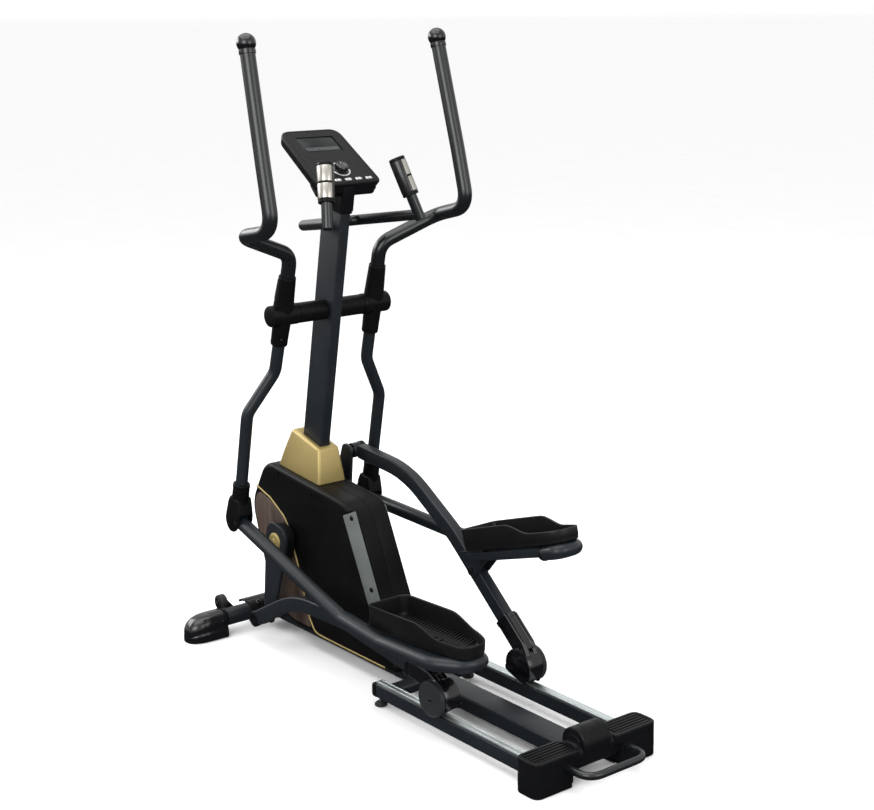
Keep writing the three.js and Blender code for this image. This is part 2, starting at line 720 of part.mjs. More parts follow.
function makeBelt() {
  const rise = Math.atan2(crank.z - flywheel.z, crank.x - flywheel.x);
  const group = pivotGroup(trainer, flywheel.x, flywheel.z, rise);
  const outer = solid(plateY(beltLoop(belt.clearance + belt.thickness), belt.y0, belt.y1, 0, 9));
  place("drive_belt", cut(outer, plateY(beltLoop(belt.clearance), belt.y0 - 1, belt.y1 + 1, 0, 9)), rubber, group);
}

// The brake's magnet shoe reaches round the flywheel's underside and stands on the beam.
function makeBrakeMagnet() {
  const { x, z, radius } = flywheel;
  const shoe = solid(barY(radius + 16, flywheel.y0, flywheel.y1, x, z, 32));
  const wedge = outline([[x, z], [x - 70, z - 130], [x + 70, z - 130]]);
  const arc = cut(shoe, holeY(radius + 3, -60, 60, x, z, 32)).intersect(solid(plateY(wedge, -60, 60)));
  const stand = cut(solid(box(x - 12, x + 12, -6, 14, beam.top + GAP, z - radius + 10)),
    holeY(radius + 3, -60, 60, x, z, 32));
  place("brake_magnet", arc.add(stand), castIron);
}

function makeCrankArm(group, side) {
  const angle = linkagePose(side).angle;
  const arm = pivotGroup(group, crank.x, crank.z, angle - Math.PI / 2);
  const { throw: reach, hubRadius, endRadius } = crank;
  const bar = plateY(outline([
    [-hubRadius, -0.6 * hubRadius, 28],
    [-0.4 * hubRadius, -hubRadius, 24],
    [0.8 * hubRadius, -0.9 * hubRadius, 30],
    [reach + endRadius, -endRadius, 18],
    [reach + endRadius, endRadius, 18],
    [0.8 * hubRadius, 0.9 * hubRadius, 30],
    [-0.4 * hubRadius, hubRadius, 24],
    [-hubRadius, 0.6 * hubRadius, 28],
  ]), 101, 111);
  const pin = barY(crank.pinRadius, 105, 155, reach, 0, 16);
  const washer = barY(14, 105, 118.5, reach, 0, 20);
  const axleHole = holeY(10 + GAP, 90, 120);
  place(`crank_arm_${sideName(side)}`, cut(join(bar, pin, washer), axleHole), paintedSteel, arm);
}

// ---------------------------------------------------------------- roller arm, in its own frame
// Its origin is the roller's axle, and its X axis points at the crank pin.
function makeRollerArm(group, side) {
  const pose = linkagePose(side);
  const arm = pivotGroup(group, pose.axle.x, pose.axle.y, pose.rise);
  const { length, y, width, height, barrelRadius, boreRadius } = rollerArm;
  const half = width / 2;
  const section = outline([
    [-half, -height / 2],
    [half, -height / 2],
    [half, height / 2],
    [-half, height / 2],
  ]);
  const bore = outline([
    [-half + WALL, -height / 2 + WALL],
    [half - WALL, -height / 2 + WALL],
    [half - WALL, height / 2 - WALL],
    [-half + WALL, height / 2 - WALL],
  ].reverse());
  section.holes.push(bore);
  // Near the pin the tube arches up, and the rest of it is straight.
  const route = new Route([[length, y, 0], [length - 205, y, 100], [length - 440, y, 97], [24, y, 36]], 330);
  const bar = solid(sweep(section, route, 4));
  const barrel = solid(barY(barrelRadius, 120, 160, length, 0, 28));
  const fork = outline([
    [-13, -6, 9],
    [6, -14, 9],
    [20, 10, 6],
    [70, 34, 4],
    [66, 54, 4],
    [20, 50, 4],
    [-12, 12, 9],
  ]);
  const forks = [y - half - 3, y + half].map((start) => solid(plateY(fork, start, start + 3)));
  const pinBore = holeY(boreRadius, 100, 156, length, 0, 24);
  const axleHole = holeY(6 + RUNNING, 100, 190);
  const [hingeX, hingeZ] = [length - pedalHinge.fromPin, pedalHinge.above];
  const hingeHole = holeY(5 + RUNNING, 100, 190, hingeX, hingeZ);
  const wheelRoom = holeY(roller.wheelRadius + 1.5, y - half + 0.5, y + half - 0.5, 0, 0, 28);
  const body = forks.reduce((sum, plate) => sum.add(plate), bar.add(barrel));
  place(`roller_arm_${sideName(side)}`, cut(body, pinBore, axleHole, hingeHole, wheelRoom), paintedSteel, arm);
  makeRollerCover(arm, side);
}

function makeRollerCover(arm, side) {
  const { y, width, height } = rollerArm;
  const half = width / 2;
  const drum = barY(47, 118, 168, 0, 0, 24);
  const disc = barY(46.5, 167, 180, 0, 0, 24);
  const slope = Math.atan2(61, 360); // how the arm's tube falls towards the roller
  const alongTube = (geometry) => geometry.rotateY(slope * -1).translate(24, y, 36);
  const sleeve = alongTube(box(-14, 96, -half - 4, half + 4, -height / 2 - 4, height / 2 + 4));
  const tubeRoom = alongTube(box(-60, 110, -half - 0.5, half + 0.5, -height / 2 - 0.5, height / 2 + 0.5));
  const forkRoom = (start) => alongTube(box(-52, 62, start - y - 0.5, start - y + 3.5, -60, 24));
  const cavity = holeY(43.6, 123, 165.5, 0, 0, 24);
  const openingTilt = degrees(-14);
  const opening = box(-80, 80, 100, 166.8, -120, -32).rotateY(-openingTilt);
  const body = join(drum, disc, sleeve);
  const cover = cut(body, cavity, tubeRoom, forkRoom(y - half - 3), forkRoom(y + half), opening,
    holeY(6 + RUNNING, 100, 170));
  place(`roller_cover_${sideName(side)}`, cover, blackPlastic, arm);
}

function makeCarriage(group, side) {
  const { axle } = linkagePose(side);
  const { y, wheelRadius, wheelWidth } = roller;
  const shaft = barY(6, 119.5, 169, axle.x, axle.y, 16);
  place(`roller_axle_${sideName(side)}`, shaft, castIron, group);
  const half = wheelWidth / 2;
  const wheel = ringY([
    [6 + RUNNING, -half],
    [wheelRadius - 3, -half],
    [wheelRadius, -half + 3],
    [wheelRadius, half - 3],
    [wheelRadius - 3, half],
    [6 + RUNNING, half],
  ], 28).translate(axle.x, y, axle.y);
  place(`roller_wheel_${sideName(side)}`, wheel, rubber, group);
}

// ---------------------------------------------------------------- pedal link, in its own frame
// Its origin is the hinge on the roller arm, and its X axis points at the swing arm's foot.
function makePedalLink(group, side) {
  const pose = linkagePose(side);
  const frame = pivotGroup(group, pose.hinge.x, pose.hinge.y, pose.linkRise);
  // The pedal's own frame: X runs back along the pedal's plane seen from the hinge, Z stands on it.
  const onPedal = (s, y, n) => [
    -s * Math.cos(pedalTilt) + n * Math.sin(pedalTilt),
    y,
    s * Math.sin(pedalTilt) + n * Math.cos(pedalTilt),
  ];
  const { length, y, tubeRadius, eyeBore } = link;
  const tubeHeight = 36;
  const route = [
    [length - 12, y, 0],
    [62, y, 34],
    onPedal(118, y, tubeHeight),
    onPedal(curl.start, y - 5, tubeHeight),
    onPedal(curl.heel, curl.corner, tubeHeight),
    onPedal(curl.heel, curl.inner, tubeHeight),
    onPedal(curl.end, curl.inner, tubeHeight),
  ];
  const sideBar = solid(tube(route, tubeRadius, 60, WALL));
  const eye = solid(barY(tubeRadius, y - 19, y + 19, length, 0, 24));
  // In the pedal's frame as built here, X runs forward, so distances back are negative.
  const pedalBox = (s0, s1, y0, y1, n0, n1) => solid(box(-s1, -s0, y0, y1, n0, n1).rotateY(pedalTilt));
  const flatBar = pedalBox(40, 345, 88, 112, 26, 50);
  const topPlate = pedalBox(14, 104, 88, 165.5, 49, 55);
  const cheek = outline([
    [16, -16, 12],
    [16, 16, 12],
    [-14, 54, 2],
    [-104, 54, 2],
    [-104, 40, 6],
    [-16, -16, 12],
  ].reverse());
  const cheekAt = (start) => solid(plateY(cheek, start, start + 4).rotateY(pedalTilt));
  const bolt = solid(barY(5, 119, 170, 0, 0, 16));
  const parts = [eye, flatBar, topPlate, cheekAt(123.5), cheekAt(161.5), bolt];
  const body = parts.reduce((sum, piece) => sum.add(piece), sideBar);
  const eyeHole = holeY(eyeBore, 150, 250, length, 0, 24);
  place(`pedal_link_${sideName(side)}`, cut(body, eyeHole), paintedSteel, frame);
  const pedal = new THREE.Group();
  pedal.rotation.y = pedalTilt;
  frame.add(pedal);
  makePedalTray(pedal, side);
}

// X runs forward from the hinge along the pedal's plane, so the tray lies at negative X.
function makePedalTray(pedal, side) {
  const plan = [
    [-400, 100, 34],
    [-325, 70, 50],
    [-45, 72, 26],
    [-45, 195, 16],
    [-240, 197, 60],
    [-400, 176, 40],
  ];
  const base = 55.4;
  const body = solid(plateZ(outline(plan), base, 119, 0, 3));
  const pocket = plateZ(outline(inset(plan, 4)), base + 5, 130, 0, 3);
  // The rim is high round the toes and drops towards the heel.
  const aboveRim = plateY(outline([
    [-30, 113],
    [-235, 116, 30],
    [-310, 90, 30],
    [-420, 87],
    [-420, 140],
    [-30, 140],
  ].reverse()), 50, 220);
  place(`pedal_tray_${sideName(side)}`, cut(body, pocket, aboveRim), blackPlastic, pedal);
}

// ---------------------------------------------------------------- swing arm, in its own frame
// Its origin is the crossbar's axis; upright, the handle is above and the link below.
function makeSwingArm(group, side) {
  const pose = linkagePose(side);
  const arm = pivotGroup(group, swing.x, swing.z, pose.swingRise);
  const { hubY } = swing;
  const upperRadius = 19;
  const lowerRadius = 16.5;
  const hub = cut(
    join(
      barY(28, crossbar.sleeveEnd + GAP, 189, 0, 0, 20),
      coneZ(26.5, 22.5, 0, 108, 2, hubY, 16),
      coneZ(22, 24, -84, 0, 0, hubY, 16),
    ),
    holeY(crossbar.axleRadius + RUNNING, 100, crossbar.axleEnd + 1, 0, 0, 20),
    coneZ(upperRadius + GAP, upperRadius + GAP, 40, 120, 2, hubY, 16),
    coneZ(lowerRadius + GAP, lowerRadius + GAP, -90, -36, 0, hubY, 16),
  );
  place(`swing_hub_${sideName(side)}`, hub, blackPlastic, arm);

  const ball = [73, 308, 704];
  const handleRoute = [
    [2, hubY, 41],
    [2, hubY, 168],
    [-15, 314, 241],
    [-141, 312, 303],
    [-68, 312, 442],
    ball,
  ];
  const handle = solid(tube(handleRoute, upperRadius, 52, WALL));
  const knob = solid(new THREE.SphereGeometry(24.5, 14, 9).translate(...ball));
  place(`handlebar_${sideName(side)}`, handle.add(knob), paintedSteel, arm);

  const [footX, footY, footZ] = swing.foot;
  const sleeveTop = footZ + 112;
  const towardsFoot = (z) => {
    const t = (z + 284) / (footZ + 284);
    return [6 + (footX - 6) * t, 214 + (footY - 214) * t, z];
  };
  const lowerRoute = [[0, hubY, -37], [0, hubY, -165], [6, 214, -284], towardsFoot(footZ + 46)];
  place(`swing_tube_${sideName(side)}`, tube(lowerRoute, lowerRadius, 60, WALL), paintedSteel, arm);

  // The knuckle is a plastic clevis: a sleeve above, and two cheeks either side of the link's eye.
  const sleeve = tube([towardsFoot(sleeveTop), towardsFoot(footZ + 40)], 23, 10, 0, 14);
  const profile = outline([
    [footX - 32, footZ - 16, 22],
    [footX + 2, footZ - 38, 24],
    [footX + 34, footZ - 12, 26],
    [footX + 30, footZ + 52, 18],
    [footX + 22, footZ + 72, 6],
    [footX - 14, footZ + 72, 6],
    [footX - 36, footZ + 22, 18],
  ]);
  const body = join(sleeve, plateY(profile, footY - 24, footY + 24, 5));
  const eyeRoom = holeY(30, footY - 20.3, footY + 20.3, footX, footZ, 20);
  const rearRoom = box(footX - 70, footX, footY - 20.3, footY + 20.3, footZ - 42, footZ + 30);
  const tubeRoom = tube([towardsFoot(sleeveTop + 5), towardsFoot(footZ + 45)], lowerRadius + 2 * RUNNING, 10, 0, 14);
  const pin = solid(barY(swing.pinRadius, footY - 22, footY + 22, footX, footZ, 12));
  const knuckle = cut(body, eyeRoom, rearRoom, tubeRoom).add(pin);
  place(`swing_knuckle_${sideName(side)}`, knuckle, blackPlastic, arm);
}

// ---------------------------------------------------------------- build
makeMainBeam();
makeFrontStabilizer();
makeRearStabilizer();
makeMast();
makeBoot();
makeCrossbar();
makeFixedHandlebar();
makeConsole();
makeDrive();
makeBelt();
makeBrakeMagnet();
for (const side of [LEFT, RIGHT]) {
  const group = sideGroup(side);
  makeFrontCap(group, side);
  makeTransportWheel(group, side);
  makeRail(group, side);
  makeLevellingFoot(group, side);
  makeRearFoot(group, side);
  makeShroud(group, side);
  makeWoodPanel(group, side);
  makePulseGrip(group, side);
  makeCrankArm(group, side);
  makeRollerArm(group, side);
  makeCarriage(group, side);
  makePedalLink(group, side);
  makeSwingArm(group, side);
}

// The origin goes under the middle of the object's box.
const rearEnd = carryHandle.reach - carryHandle.tubeRadius;
const frontEnd = transportWheel.x + transportWheel.radius;
trainer.position.x = -(rearEnd + frontEnd) / 2;

export default trainer;
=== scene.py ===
"""The looks of an elliptical trainer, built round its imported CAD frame.

Pieces are made in millimetres in the frame of what they belong to: the machine (X forward from
the rear feet, Y to the user's left, Z up), a crank, a roller arm, a pedal link, a swing arm or
the console. A matrix then takes them to the row frame, in metres.
"""

import json
import math

import bmesh
import bpy
from mathutils import Matrix, Vector


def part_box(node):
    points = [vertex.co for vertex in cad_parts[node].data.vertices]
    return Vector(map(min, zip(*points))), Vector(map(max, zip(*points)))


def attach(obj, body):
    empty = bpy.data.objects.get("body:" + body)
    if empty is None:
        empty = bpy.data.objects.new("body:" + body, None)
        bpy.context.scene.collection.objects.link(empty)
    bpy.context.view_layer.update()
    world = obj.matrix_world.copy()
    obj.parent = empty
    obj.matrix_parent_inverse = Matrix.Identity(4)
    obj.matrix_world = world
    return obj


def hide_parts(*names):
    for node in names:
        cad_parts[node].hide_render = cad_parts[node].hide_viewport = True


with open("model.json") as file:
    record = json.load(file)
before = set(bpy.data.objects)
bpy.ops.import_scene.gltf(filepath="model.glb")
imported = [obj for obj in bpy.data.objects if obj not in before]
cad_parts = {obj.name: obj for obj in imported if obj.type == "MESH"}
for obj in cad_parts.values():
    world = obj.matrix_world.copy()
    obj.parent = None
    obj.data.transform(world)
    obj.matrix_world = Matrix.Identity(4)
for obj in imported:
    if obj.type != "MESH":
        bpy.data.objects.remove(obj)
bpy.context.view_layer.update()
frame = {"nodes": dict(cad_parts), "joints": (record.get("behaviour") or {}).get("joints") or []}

SIDES = {"left": 1, "right": -1}
JOINTS = {joint["name"]: joint for joint in frame["joints"]}

# ---------------------------------------------------------------- driving dimensions, mm and radians
CRANK_THROW = 237
CRANK_ANGLE = math.radians(12)
ARM_LENGTH = 824
LINK_LENGTH = 566
LINK_Y = 209
SWING_FOOT = Vector((-10, LINK_Y, -604))
PEDAL_TILT = math.radians(22.3)
MAST_LEAN = math.radians(10.54)
CONSOLE_TILT = math.radians(33.5)
CRANK = Vector((1175, 0, 299))
SWING = Vector((1047, 0, 960))
CONSOLE = Vector((1028.5, 0, 1364))
FRONT_TUBE = Vector((1336, 0, 47))
RAIL_Y = 144.5
SHROUD_HALF = 62
SHROUD_CORNERS = [
    (683, 43, 34), (1190, 43, 50), (1290, 112, 60), (1374, 362, 45), (1296, 500, 45), (877, 457, 60),
]
TRANSPORT_WHEEL = Vector((1385, 167, 74))
BRACKET_REACH = 13
CAP_START = 195
CAP_STRAIGHT = 40
CAP_LENGTH = 117
CAP_HALF = 35
CAP_SPREAD = 29
CAP_HEIGHT = 72
CAP_SKIRT = 24
LEVELLING_X = 647
HUMP = Vector((42, 0, 80))
PULL_HANDLE_Y = 94
BOOT_LIFT = 0.4
BUTTON_X = -99
KNOB_X = -58
ARM_BORE = 18
HINGE_BACK = 555
HINGE_RISE = 82
COVER_TURN = math.radians(14)
TRAY_BOLTS = ((-244, 136), (-122, 136))
RAMPS = 27
RAMP_PITCH = 11
STUD_ROWS = 48
STUD_COLUMNS = 17
STUD_PITCH = 7
STEM_Y = 147
SWING_BEND = Vector((6, 214, -284))
HANDLE_BEND = Vector((-68, 312, 442))
HANDLE_TOP = Vector((73, 308, 704))
CAMERA_PLACE = (-3.13581, 2.44506, 1.71922)
CAMERA_TURNS = (-38.6425, 13.5052, -0.4596)
CAMERA_LENS = 66.92


# ---------------------------------------------------------------- frames of reference
def machine_matrix(side=1):
    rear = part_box("rear_foot_left")[0].x
    mirror = Matrix.Diagonal((1, side, 1, 1))
    return Matrix.Translation((rear, 0, 0)) @ mirror @ Matrix.Scale(0.001, 4)


def pivot_matrix(x, z, rise, side=1):
    """A frame at (x, z) in the machine's plane, whose X axis rises by the given angle."""
    turn = Matrix.Rotation(-rise, 4, "Y")
    return machine_matrix(side) @ Matrix.Translation((x, 0, z)) @ turn


def joint_place(name):
    """A joint's (x, z) in the machine's millimetres."""
    x, _, z = JOINTS[name]["pos_m"]
    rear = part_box("rear_foot_left")[0].x
    return Vector(((x - rear) * 1000, z * 1000))


def linkage(side_name):
    """One side at rest: its crank's angle, roller axle, arm rise, hinge, link rise and swing rise."""
    angle = CRANK_ANGLE + (0 if side_name == "left" else math.pi)
    pin_z = CRANK.z - CRANK_THROW * math.cos(angle)
    axle = joint_place(f"arm_rock_{side_name}")
    arm_rise = math.asin((pin_z - axle.y) / ARM_LENGTH)
    hinge = joint_place(f"link_tilt_{side_name}")
    top = Vector((SWING.x, SWING.z))
    hang = math.hypot(SWING_FOOT.x, SWING_FOOT.z)
    span = top - hinge
    along = (LINK_LENGTH**2 - hang**2 + span.length_squared) / (2 * span.length)
    across = math.sqrt(LINK_LENGTH**2 - along**2)
    unit = span.normalized()
    foot = hinge + unit * along + Vector((unit.y, -unit.x)) * across
    link_rise = math.atan2(foot.y - hinge.y, foot.x - hinge.x)
    swing_rise = math.atan2(foot.y - top.y, foot.x - top.x) - math.atan2(SWING_FOOT.z, SWING_FOOT.x)
    return angle, axle, arm_rise, hinge, link_rise, swing_rise


# ---------------------------------------------------------------- solids: (points, faces) in millimetres
def box(x0, x1, y0, y1, z0, z1):
    points = [Vector((x, y, z)) for z in (z0, z1) for x, y in ((x0, y0), (x1, y0), (x1, y1), (x0, y1))]
    faces = [(0, 1, 2, 3), (4, 5, 6, 7), (0, 1, 5, 4), (1, 2, 6, 5), (2, 3, 7, 6), (3, 0, 4, 7)]
    return points, faces


def loft(rings, capped=True, looped=False):
    """Rings of equal length joined by quads, with its two ends closed or joined to each other."""
    n = len(rings[0])
    points = [Vector(p) for ring in rings for p in ring]
    faces = []
    count = len(rings) if looped else len(rings) - 1
    for i in range(count):
        a = i * n
        b = ((i + 1) % len(rings)) * n
        faces += [(a + k, a + (k + 1) % n, b + (k + 1) % n, b + k) for k in range(n)]
    if capped and not looped:
        faces.append(tuple(range(n)))
        faces.append(tuple(range((len(rings) - 1) * n, len(rings) * n)))
    return points, faces


def merged(*solids):
    points, faces = [], []
    for solid_points, solid_faces in solids:
        start = len(points)
        points += solid_points
        faces += [tuple(start + i for i in face) for face in solid_faces]
    return points, faces


def moved(solid, matrix):
    points, faces = solid
    return [matrix @ p for p in points], faces


def at(solid, x=0, y=0, z=0):
    return moved(solid, Matrix.Translation((x, y, z)))


def outline(corners, steps=6):
    """A closed 2-D outline whose corners are (u, v, fillet)."""
    points = []
    n = len(corners)
    for i, (u, v, *rest) in enumerate(corners):
        here = Vector((u, v))
        before = Vector(corners[i - 1][:2])
        after = Vector(corners[(i + 1) % n][:2])
        wanted = rest[0] if rest else 0
        fillet = min(wanted, 0.49 * (before - here).length, 0.49 * (after - here).length)
        if fillet <= 0:
            points.append(here)
            continue
        start = here + (before - here).normalized() * fillet
        end = here + (after - here).normalized() * fillet
        for k in range(steps + 1):
            t = k / steps
            points.append(start * (1 - t) ** 2 + here * 2 * t * (1 - t) + end * t**2)
    return points


def there_and_back(half):
    """Half of a list of (u, v, ...) and then its mirror image in v, in reverse order."""
    return half + [(u, -v, *rest) for u, v, *rest in reversed(half)]


def rounded_rect(u0, u1, v0, v1, fillet, steps=5):
    return outline([(u0, v0, fillet), (u1, v0, fillet), (u1, v1, fillet), (u0, v1, fillet)], steps)


def area(points):
    return sum(a.x * b.y - b.x * a.y for a, b in zip(points, points[1:] + points[:1])) / 2


def inset(points, distance):
    """The outline moved inwards, each point along the middle of its two edges' normals."""
    turn = 1 if area(points) > 0 else -1
    n = len(points)
    result = []
    for i in range(n):
        into = (points[i] - points[i - 1]).normalized()
        out = (points[(i + 1) % n] - points[i]).normalized()
        normal = Vector((-into.y - out.y, into.x + out.x)).normalized() * turn
        share = max(0.5, abs(normal.dot(Vector((-into.y, into.x)))))
        result.append(points[i] + normal * distance / share)
    return result


AXES = {"X": lambda u, v, w: (w, u, v), "Y": lambda u, v, w: (u, w, v), "Z": lambda u, v, w: (u, v, w)}


def plate(points, start, end, axis="Y", edge=0.8, steps=3, far_edge=None):
    """An outline pushed along an axis, with rounded edges. far_edge is the rounding at the end, if other."""
    place = AXES[axis]
    far_edge = edge if far_edge is None else far_edge
    rings = []
    for k in range(steps + 1):
        a = math.pi / 2 * k / steps
        rings.append((edge * (1 - math.sin(a)), start + edge * (1 - math.cos(a))))
    for k in range(steps + 1):
        a = math.pi / 2 * (1 - k / steps)
        rings.append((far_edge * (1 - math.sin(a)), end - far_edge * (1 - math.cos(a))))
    return loft([[place(p.x, p.y, w) for p in inset(points, d)] for d, w in rings])


def lathe(profile, axis="Y", sides=48, looped=False):
    """A profile of (radius, place along the axis) turned about the axis."""
    place = AXES[axis]
    rings = []
    for radius, w in profile:
        r = max(radius, 0.01)
        angles = [2 * math.pi * k / sides for k in range(sides)]
        rings.append([place(r * math.cos(a), r * math.sin(a), w) for a in angles])
    return loft(rings, looped=looped)


def rounded_bar(radius, start, end, axis="Y", edge=1.0, sides=40):
    return lathe([
        (radius - edge, start), (radius - 0.3 * edge, start + 0.3 * edge), (radius, start + edge),
        (radius, end - edge), (radius - 0.3 * edge, end - 0.3 * edge), (radius - edge, end),
    ], axis, sides)


def ball(radius, x, y, z, rows=16):
    angles = [math.pi * k / rows for k in range(rows + 1)]
    profile = [(radius * math.sin(a), -radius * math.cos(a)) for a in angles]
    return at(lathe(profile, "Z", 2 * rows), x, y, z)


def route(corners, bend, steps=9):
    """(point, direction) stops along straight runs with round bends."""
    points = [Vector(c) for c in corners]
    stops = [(points[0], (points[1] - points[0]).normalized())]
    for before, here, after in zip(points, points[1:], points[2:]):
        into = here - before
        out = after - here
        room = min(into.length, out.length) * 0.48
        reach = min(bend * math.tan(into.angle(out) / 2), room)
        start = here - into.normalized() * reach
        end = here + out.normalized() * reach
        for k in range(steps + 1):
            t = k / steps
            point = start * (1 - t) ** 2 + here * 2 * t * (1 - t) + end * t**2
            stops.append((point, ((here - start) * (1 - t) + (end - here) * t).normalized()))
    stops.append((points[-1], (points[-1] - points[-2]).normalized()))
    return stops


def sweep(section, stops, up=Vector((0, 1, 0))):
    """A 2-D section carried along the stops without twisting; up is its second axis at the start."""
    rings = []
    side = up.cross(stops[0][1]).normalized()
    for point, direction in stops:
        side = (side - direction * side.dot(direction)).normalized()
        above = direction.cross(side)
        rings.append([point + side * p.x + above * p.y for p in section])
    return loft(rings)


def hexagon(radius, fillet):
    angles = [k * math.pi / 3 for k in range(6)]
    return outline([(radius * math.cos(a), radius * math.sin(a), fillet) for a in angles])


def circle(radius, sides=28):
    angles = [2 * math.pi * k / sides for k in range(sides)]
    return [Vector((radius * math.cos(a), radius * math.sin(a))) for a in angles]


def tube(corners, radius, bend, sides=28, steps=9):
    return sweep(circle(radius, sides), route(corners, bend, steps))


def temporary(solid):
    mesh = bpy.data.meshes.new("temporary")
    mesh.from_pydata([tuple(p) for p in solid[0]], [], solid[1])
    work = bmesh.new()
    work.from_mesh(mesh)
    bmesh.ops.recalc_face_normals(work, faces=work.faces)
    work.to_mesh(mesh)
    work.free()
    thing = bpy.data.objects.new("temporary", mesh)
    bpy.context.scene.collection.objects.link(thing)
    return thing


def evaluated(thing, *helpers):
    """The solid that an object's modifiers make. The object and its helpers are then removed."""
    graph = bpy.context.evaluated_depsgraph_get()
    mesh = bpy.data.meshes.new_from_object(thing.evaluated_get(graph))
    solid = ([v.co.copy() for v in mesh.vertices], [tuple(f.vertices) for f in mesh.polygons])
    for extra in (thing, *helpers):
        bpy.data.objects.remove(extra)
    return solid


def carved(solid, *tools):
    """The solid with the tools cut out of it."""
    body = temporary(solid)
    cutters = [temporary(tool) for tool in tools]
    for cutter in cutters:
        cut = body.modifiers.new("cut", "BOOLEAN")
        cut.operation = "DIFFERENCE"
        cut.solver = "EXACT"
        cut.object = cutter
    return evaluated(body, *cutters)


def bevelled(solid, width, segments=3, angle=35):
    body = temporary(solid)
    bevel = body.modifiers.new("bevel", "BEVEL")
    bevel.width = width
    bevel.segments = segments
    bevel.limit_method = "ANGLE"
    bevel.angle_limit = math.radians(angle)
    return evaluated(body)


def piece(name, body, matrix, *parts, replaces=(), sharp=32):
    """One visible piece. parts are pairs (solid, material), and it rides on a CAD body."""
    mesh = bpy.data.meshes.new(name)
    points, faces = merged(*[solid for solid, _ in parts])
    mesh.from_pydata([tuple(matrix @ Vector(p)) for p in points], [], faces)
    materials = []
    for _, material in parts:
        if material not in materials:
            materials.append(material)
            mesh.materials.append(material)
    indices = [materials.index(material) for solid, material in parts for _ in solid[1]]
    mesh.polygons.foreach_set("material_index", indices)
    work = bmesh.new()
    work.from_mesh(mesh)
    bmesh.ops.recalc_face_normals(work, faces=work.faces)
    work.to_mesh(mesh)
    work.free()
    mesh.shade_smooth()
    mesh.set_sharp_from_angle(angle=math.radians(sharp))
    thing = bpy.data.objects.new(name, mesh)
    bpy.context.scene.collection.objects.link(thing)
    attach(thing, body)
    if replaces:
        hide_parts(*replaces)


def made_of(material, solids):
    return [(solid, material) for solid in solids]


def screw(radius=4.5, height=2.2, socket=1.9):
    """A domed screw head standing on z = 0, with a round socket."""
    return lathe([
        (radius, 0), (radius, height * 0.35), (radius * 0.86, height * 0.75), (radius * 0.6, height),
        (socket, height), (socket, height * 0.3), (0, height * 0.3),
    ], "Z", 24)


def facing(solid, x, y, z, direction):
    """A solid standing on z = 0 put at a point, its Z axis turned to a direction."""
    turn = Vector(direction).to_track_quat("Z", "Y").to_matrix().to_4x4()
    return moved(solid, Matrix.Translation((x, y, z)) @ turn)


class Nodes:
    """Builds one material's nodes: colour, roughness and bump over object coordinates in metres."""

    def __init__(self, name, slot):
        self.material = bpy.data.materials.new(name)
        self.material.use_nodes = True
        self.tree = self.material.node_tree
        self.shader = self.tree.nodes["Principled BSDF"]
        self.place = self.add("ShaderNodeTexCoord").outputs["Object"]
        self.normals = []

    def add(self, kind, **values):
        node = self.tree.nodes.new(kind)
        for key, value in values.items():
            setattr(node, key, value)
        return node

    def link(self, source, target):
        self.tree.links.new(source, target)

    def set(self, **values):
        for key, value in values.items():
            self.shader.inputs[key.replace("_", " ")].default_value = value

    def stretched(self, x, y, z):
        mapping = self.add("ShaderNodeMapping")
        mapping.inputs["Scale"].default_value = (x, y, z)
        self.link(self.place, mapping.inputs["Vector"])
        return mapping.outputs["Vector"]

    def noise(self, scale, detail=3, roughness=0.55, place=None):
        node = self.add("ShaderNodeTexNoise")
        node.inputs["Scale"].default_value = scale
        node.inputs["Detail"].default_value = detail
        node.inputs["Roughness"].default_value = roughness
        self.link(place or self.place, node.inputs["Vector"])
        return node.outputs["Fac"]

    def cells(self, scale):
        node = self.add("ShaderNodeTexVoronoi")
        node.inputs["Scale"].default_value = scale
        self.link(self.place, node.inputs["Vector"])
        return node.outputs["Distance"]

    def ramp(self, value, *stops):
        node = self.add("ShaderNodeValToRGB")
        ramp = node.color_ramp
        while len(ramp.elements) < len(stops):
            ramp.elements.new(0.5)
        for element, (where, color) in zip(ramp.elements, stops):
            element.position = where
            element.color = (*color, 1)
        self.link(value, node.inputs["Fac"])
        return node.outputs["Color"]

    def range(self, value, low, high):
        node = self.add("ShaderNodeMapRange")
        node.inputs["From Min"].default_value = 0.25
        node.inputs["From Max"].default_value = 0.75
        node.inputs["To Min"].default_value = low
        node.inputs["To Max"].default_value = high
        self.link(value, node.inputs["Value"])
        return node.outputs["Result"]

    def mix(self, factor, a, b):
        """A colour mix. Its sockets are 0 for the factor, 6 and 7 for the colours, and 2 for the result."""
        node = self.add("ShaderNodeMix", data_type="RGBA")
        for socket, value in ((0, factor), (6, a), (7, b)):
            if isinstance(value, (float, int)):
                node.inputs[socket].default_value = value
            elif isinstance(value, tuple):
                node.inputs[socket].default_value = (*value, 1)
            else:
                self.link(value, node.inputs[socket])
        return node.outputs[2]

    def color(self, value):
        self.link(value, self.shader.inputs["Base Color"])

    def roughness(self, value):
        self.link(value, self.shader.inputs["Roughness"])

    def bump(self, height, distance, strength=1.0):
        """Adds a height, in metres at full strength, on top of those given before."""
        node = self.add("ShaderNodeBump")
        node.inputs["Distance"].default_value = distance
        node.inputs["Strength"].default_value = strength
        self.link(height, node.inputs["Height"])
        if self.normals:
            self.link(self.normals[-1], node.inputs["Normal"])
        self.normals.append(node.outputs["Normal"])
        self.link(node.outputs["Normal"], self.shader.inputs["Normal"])


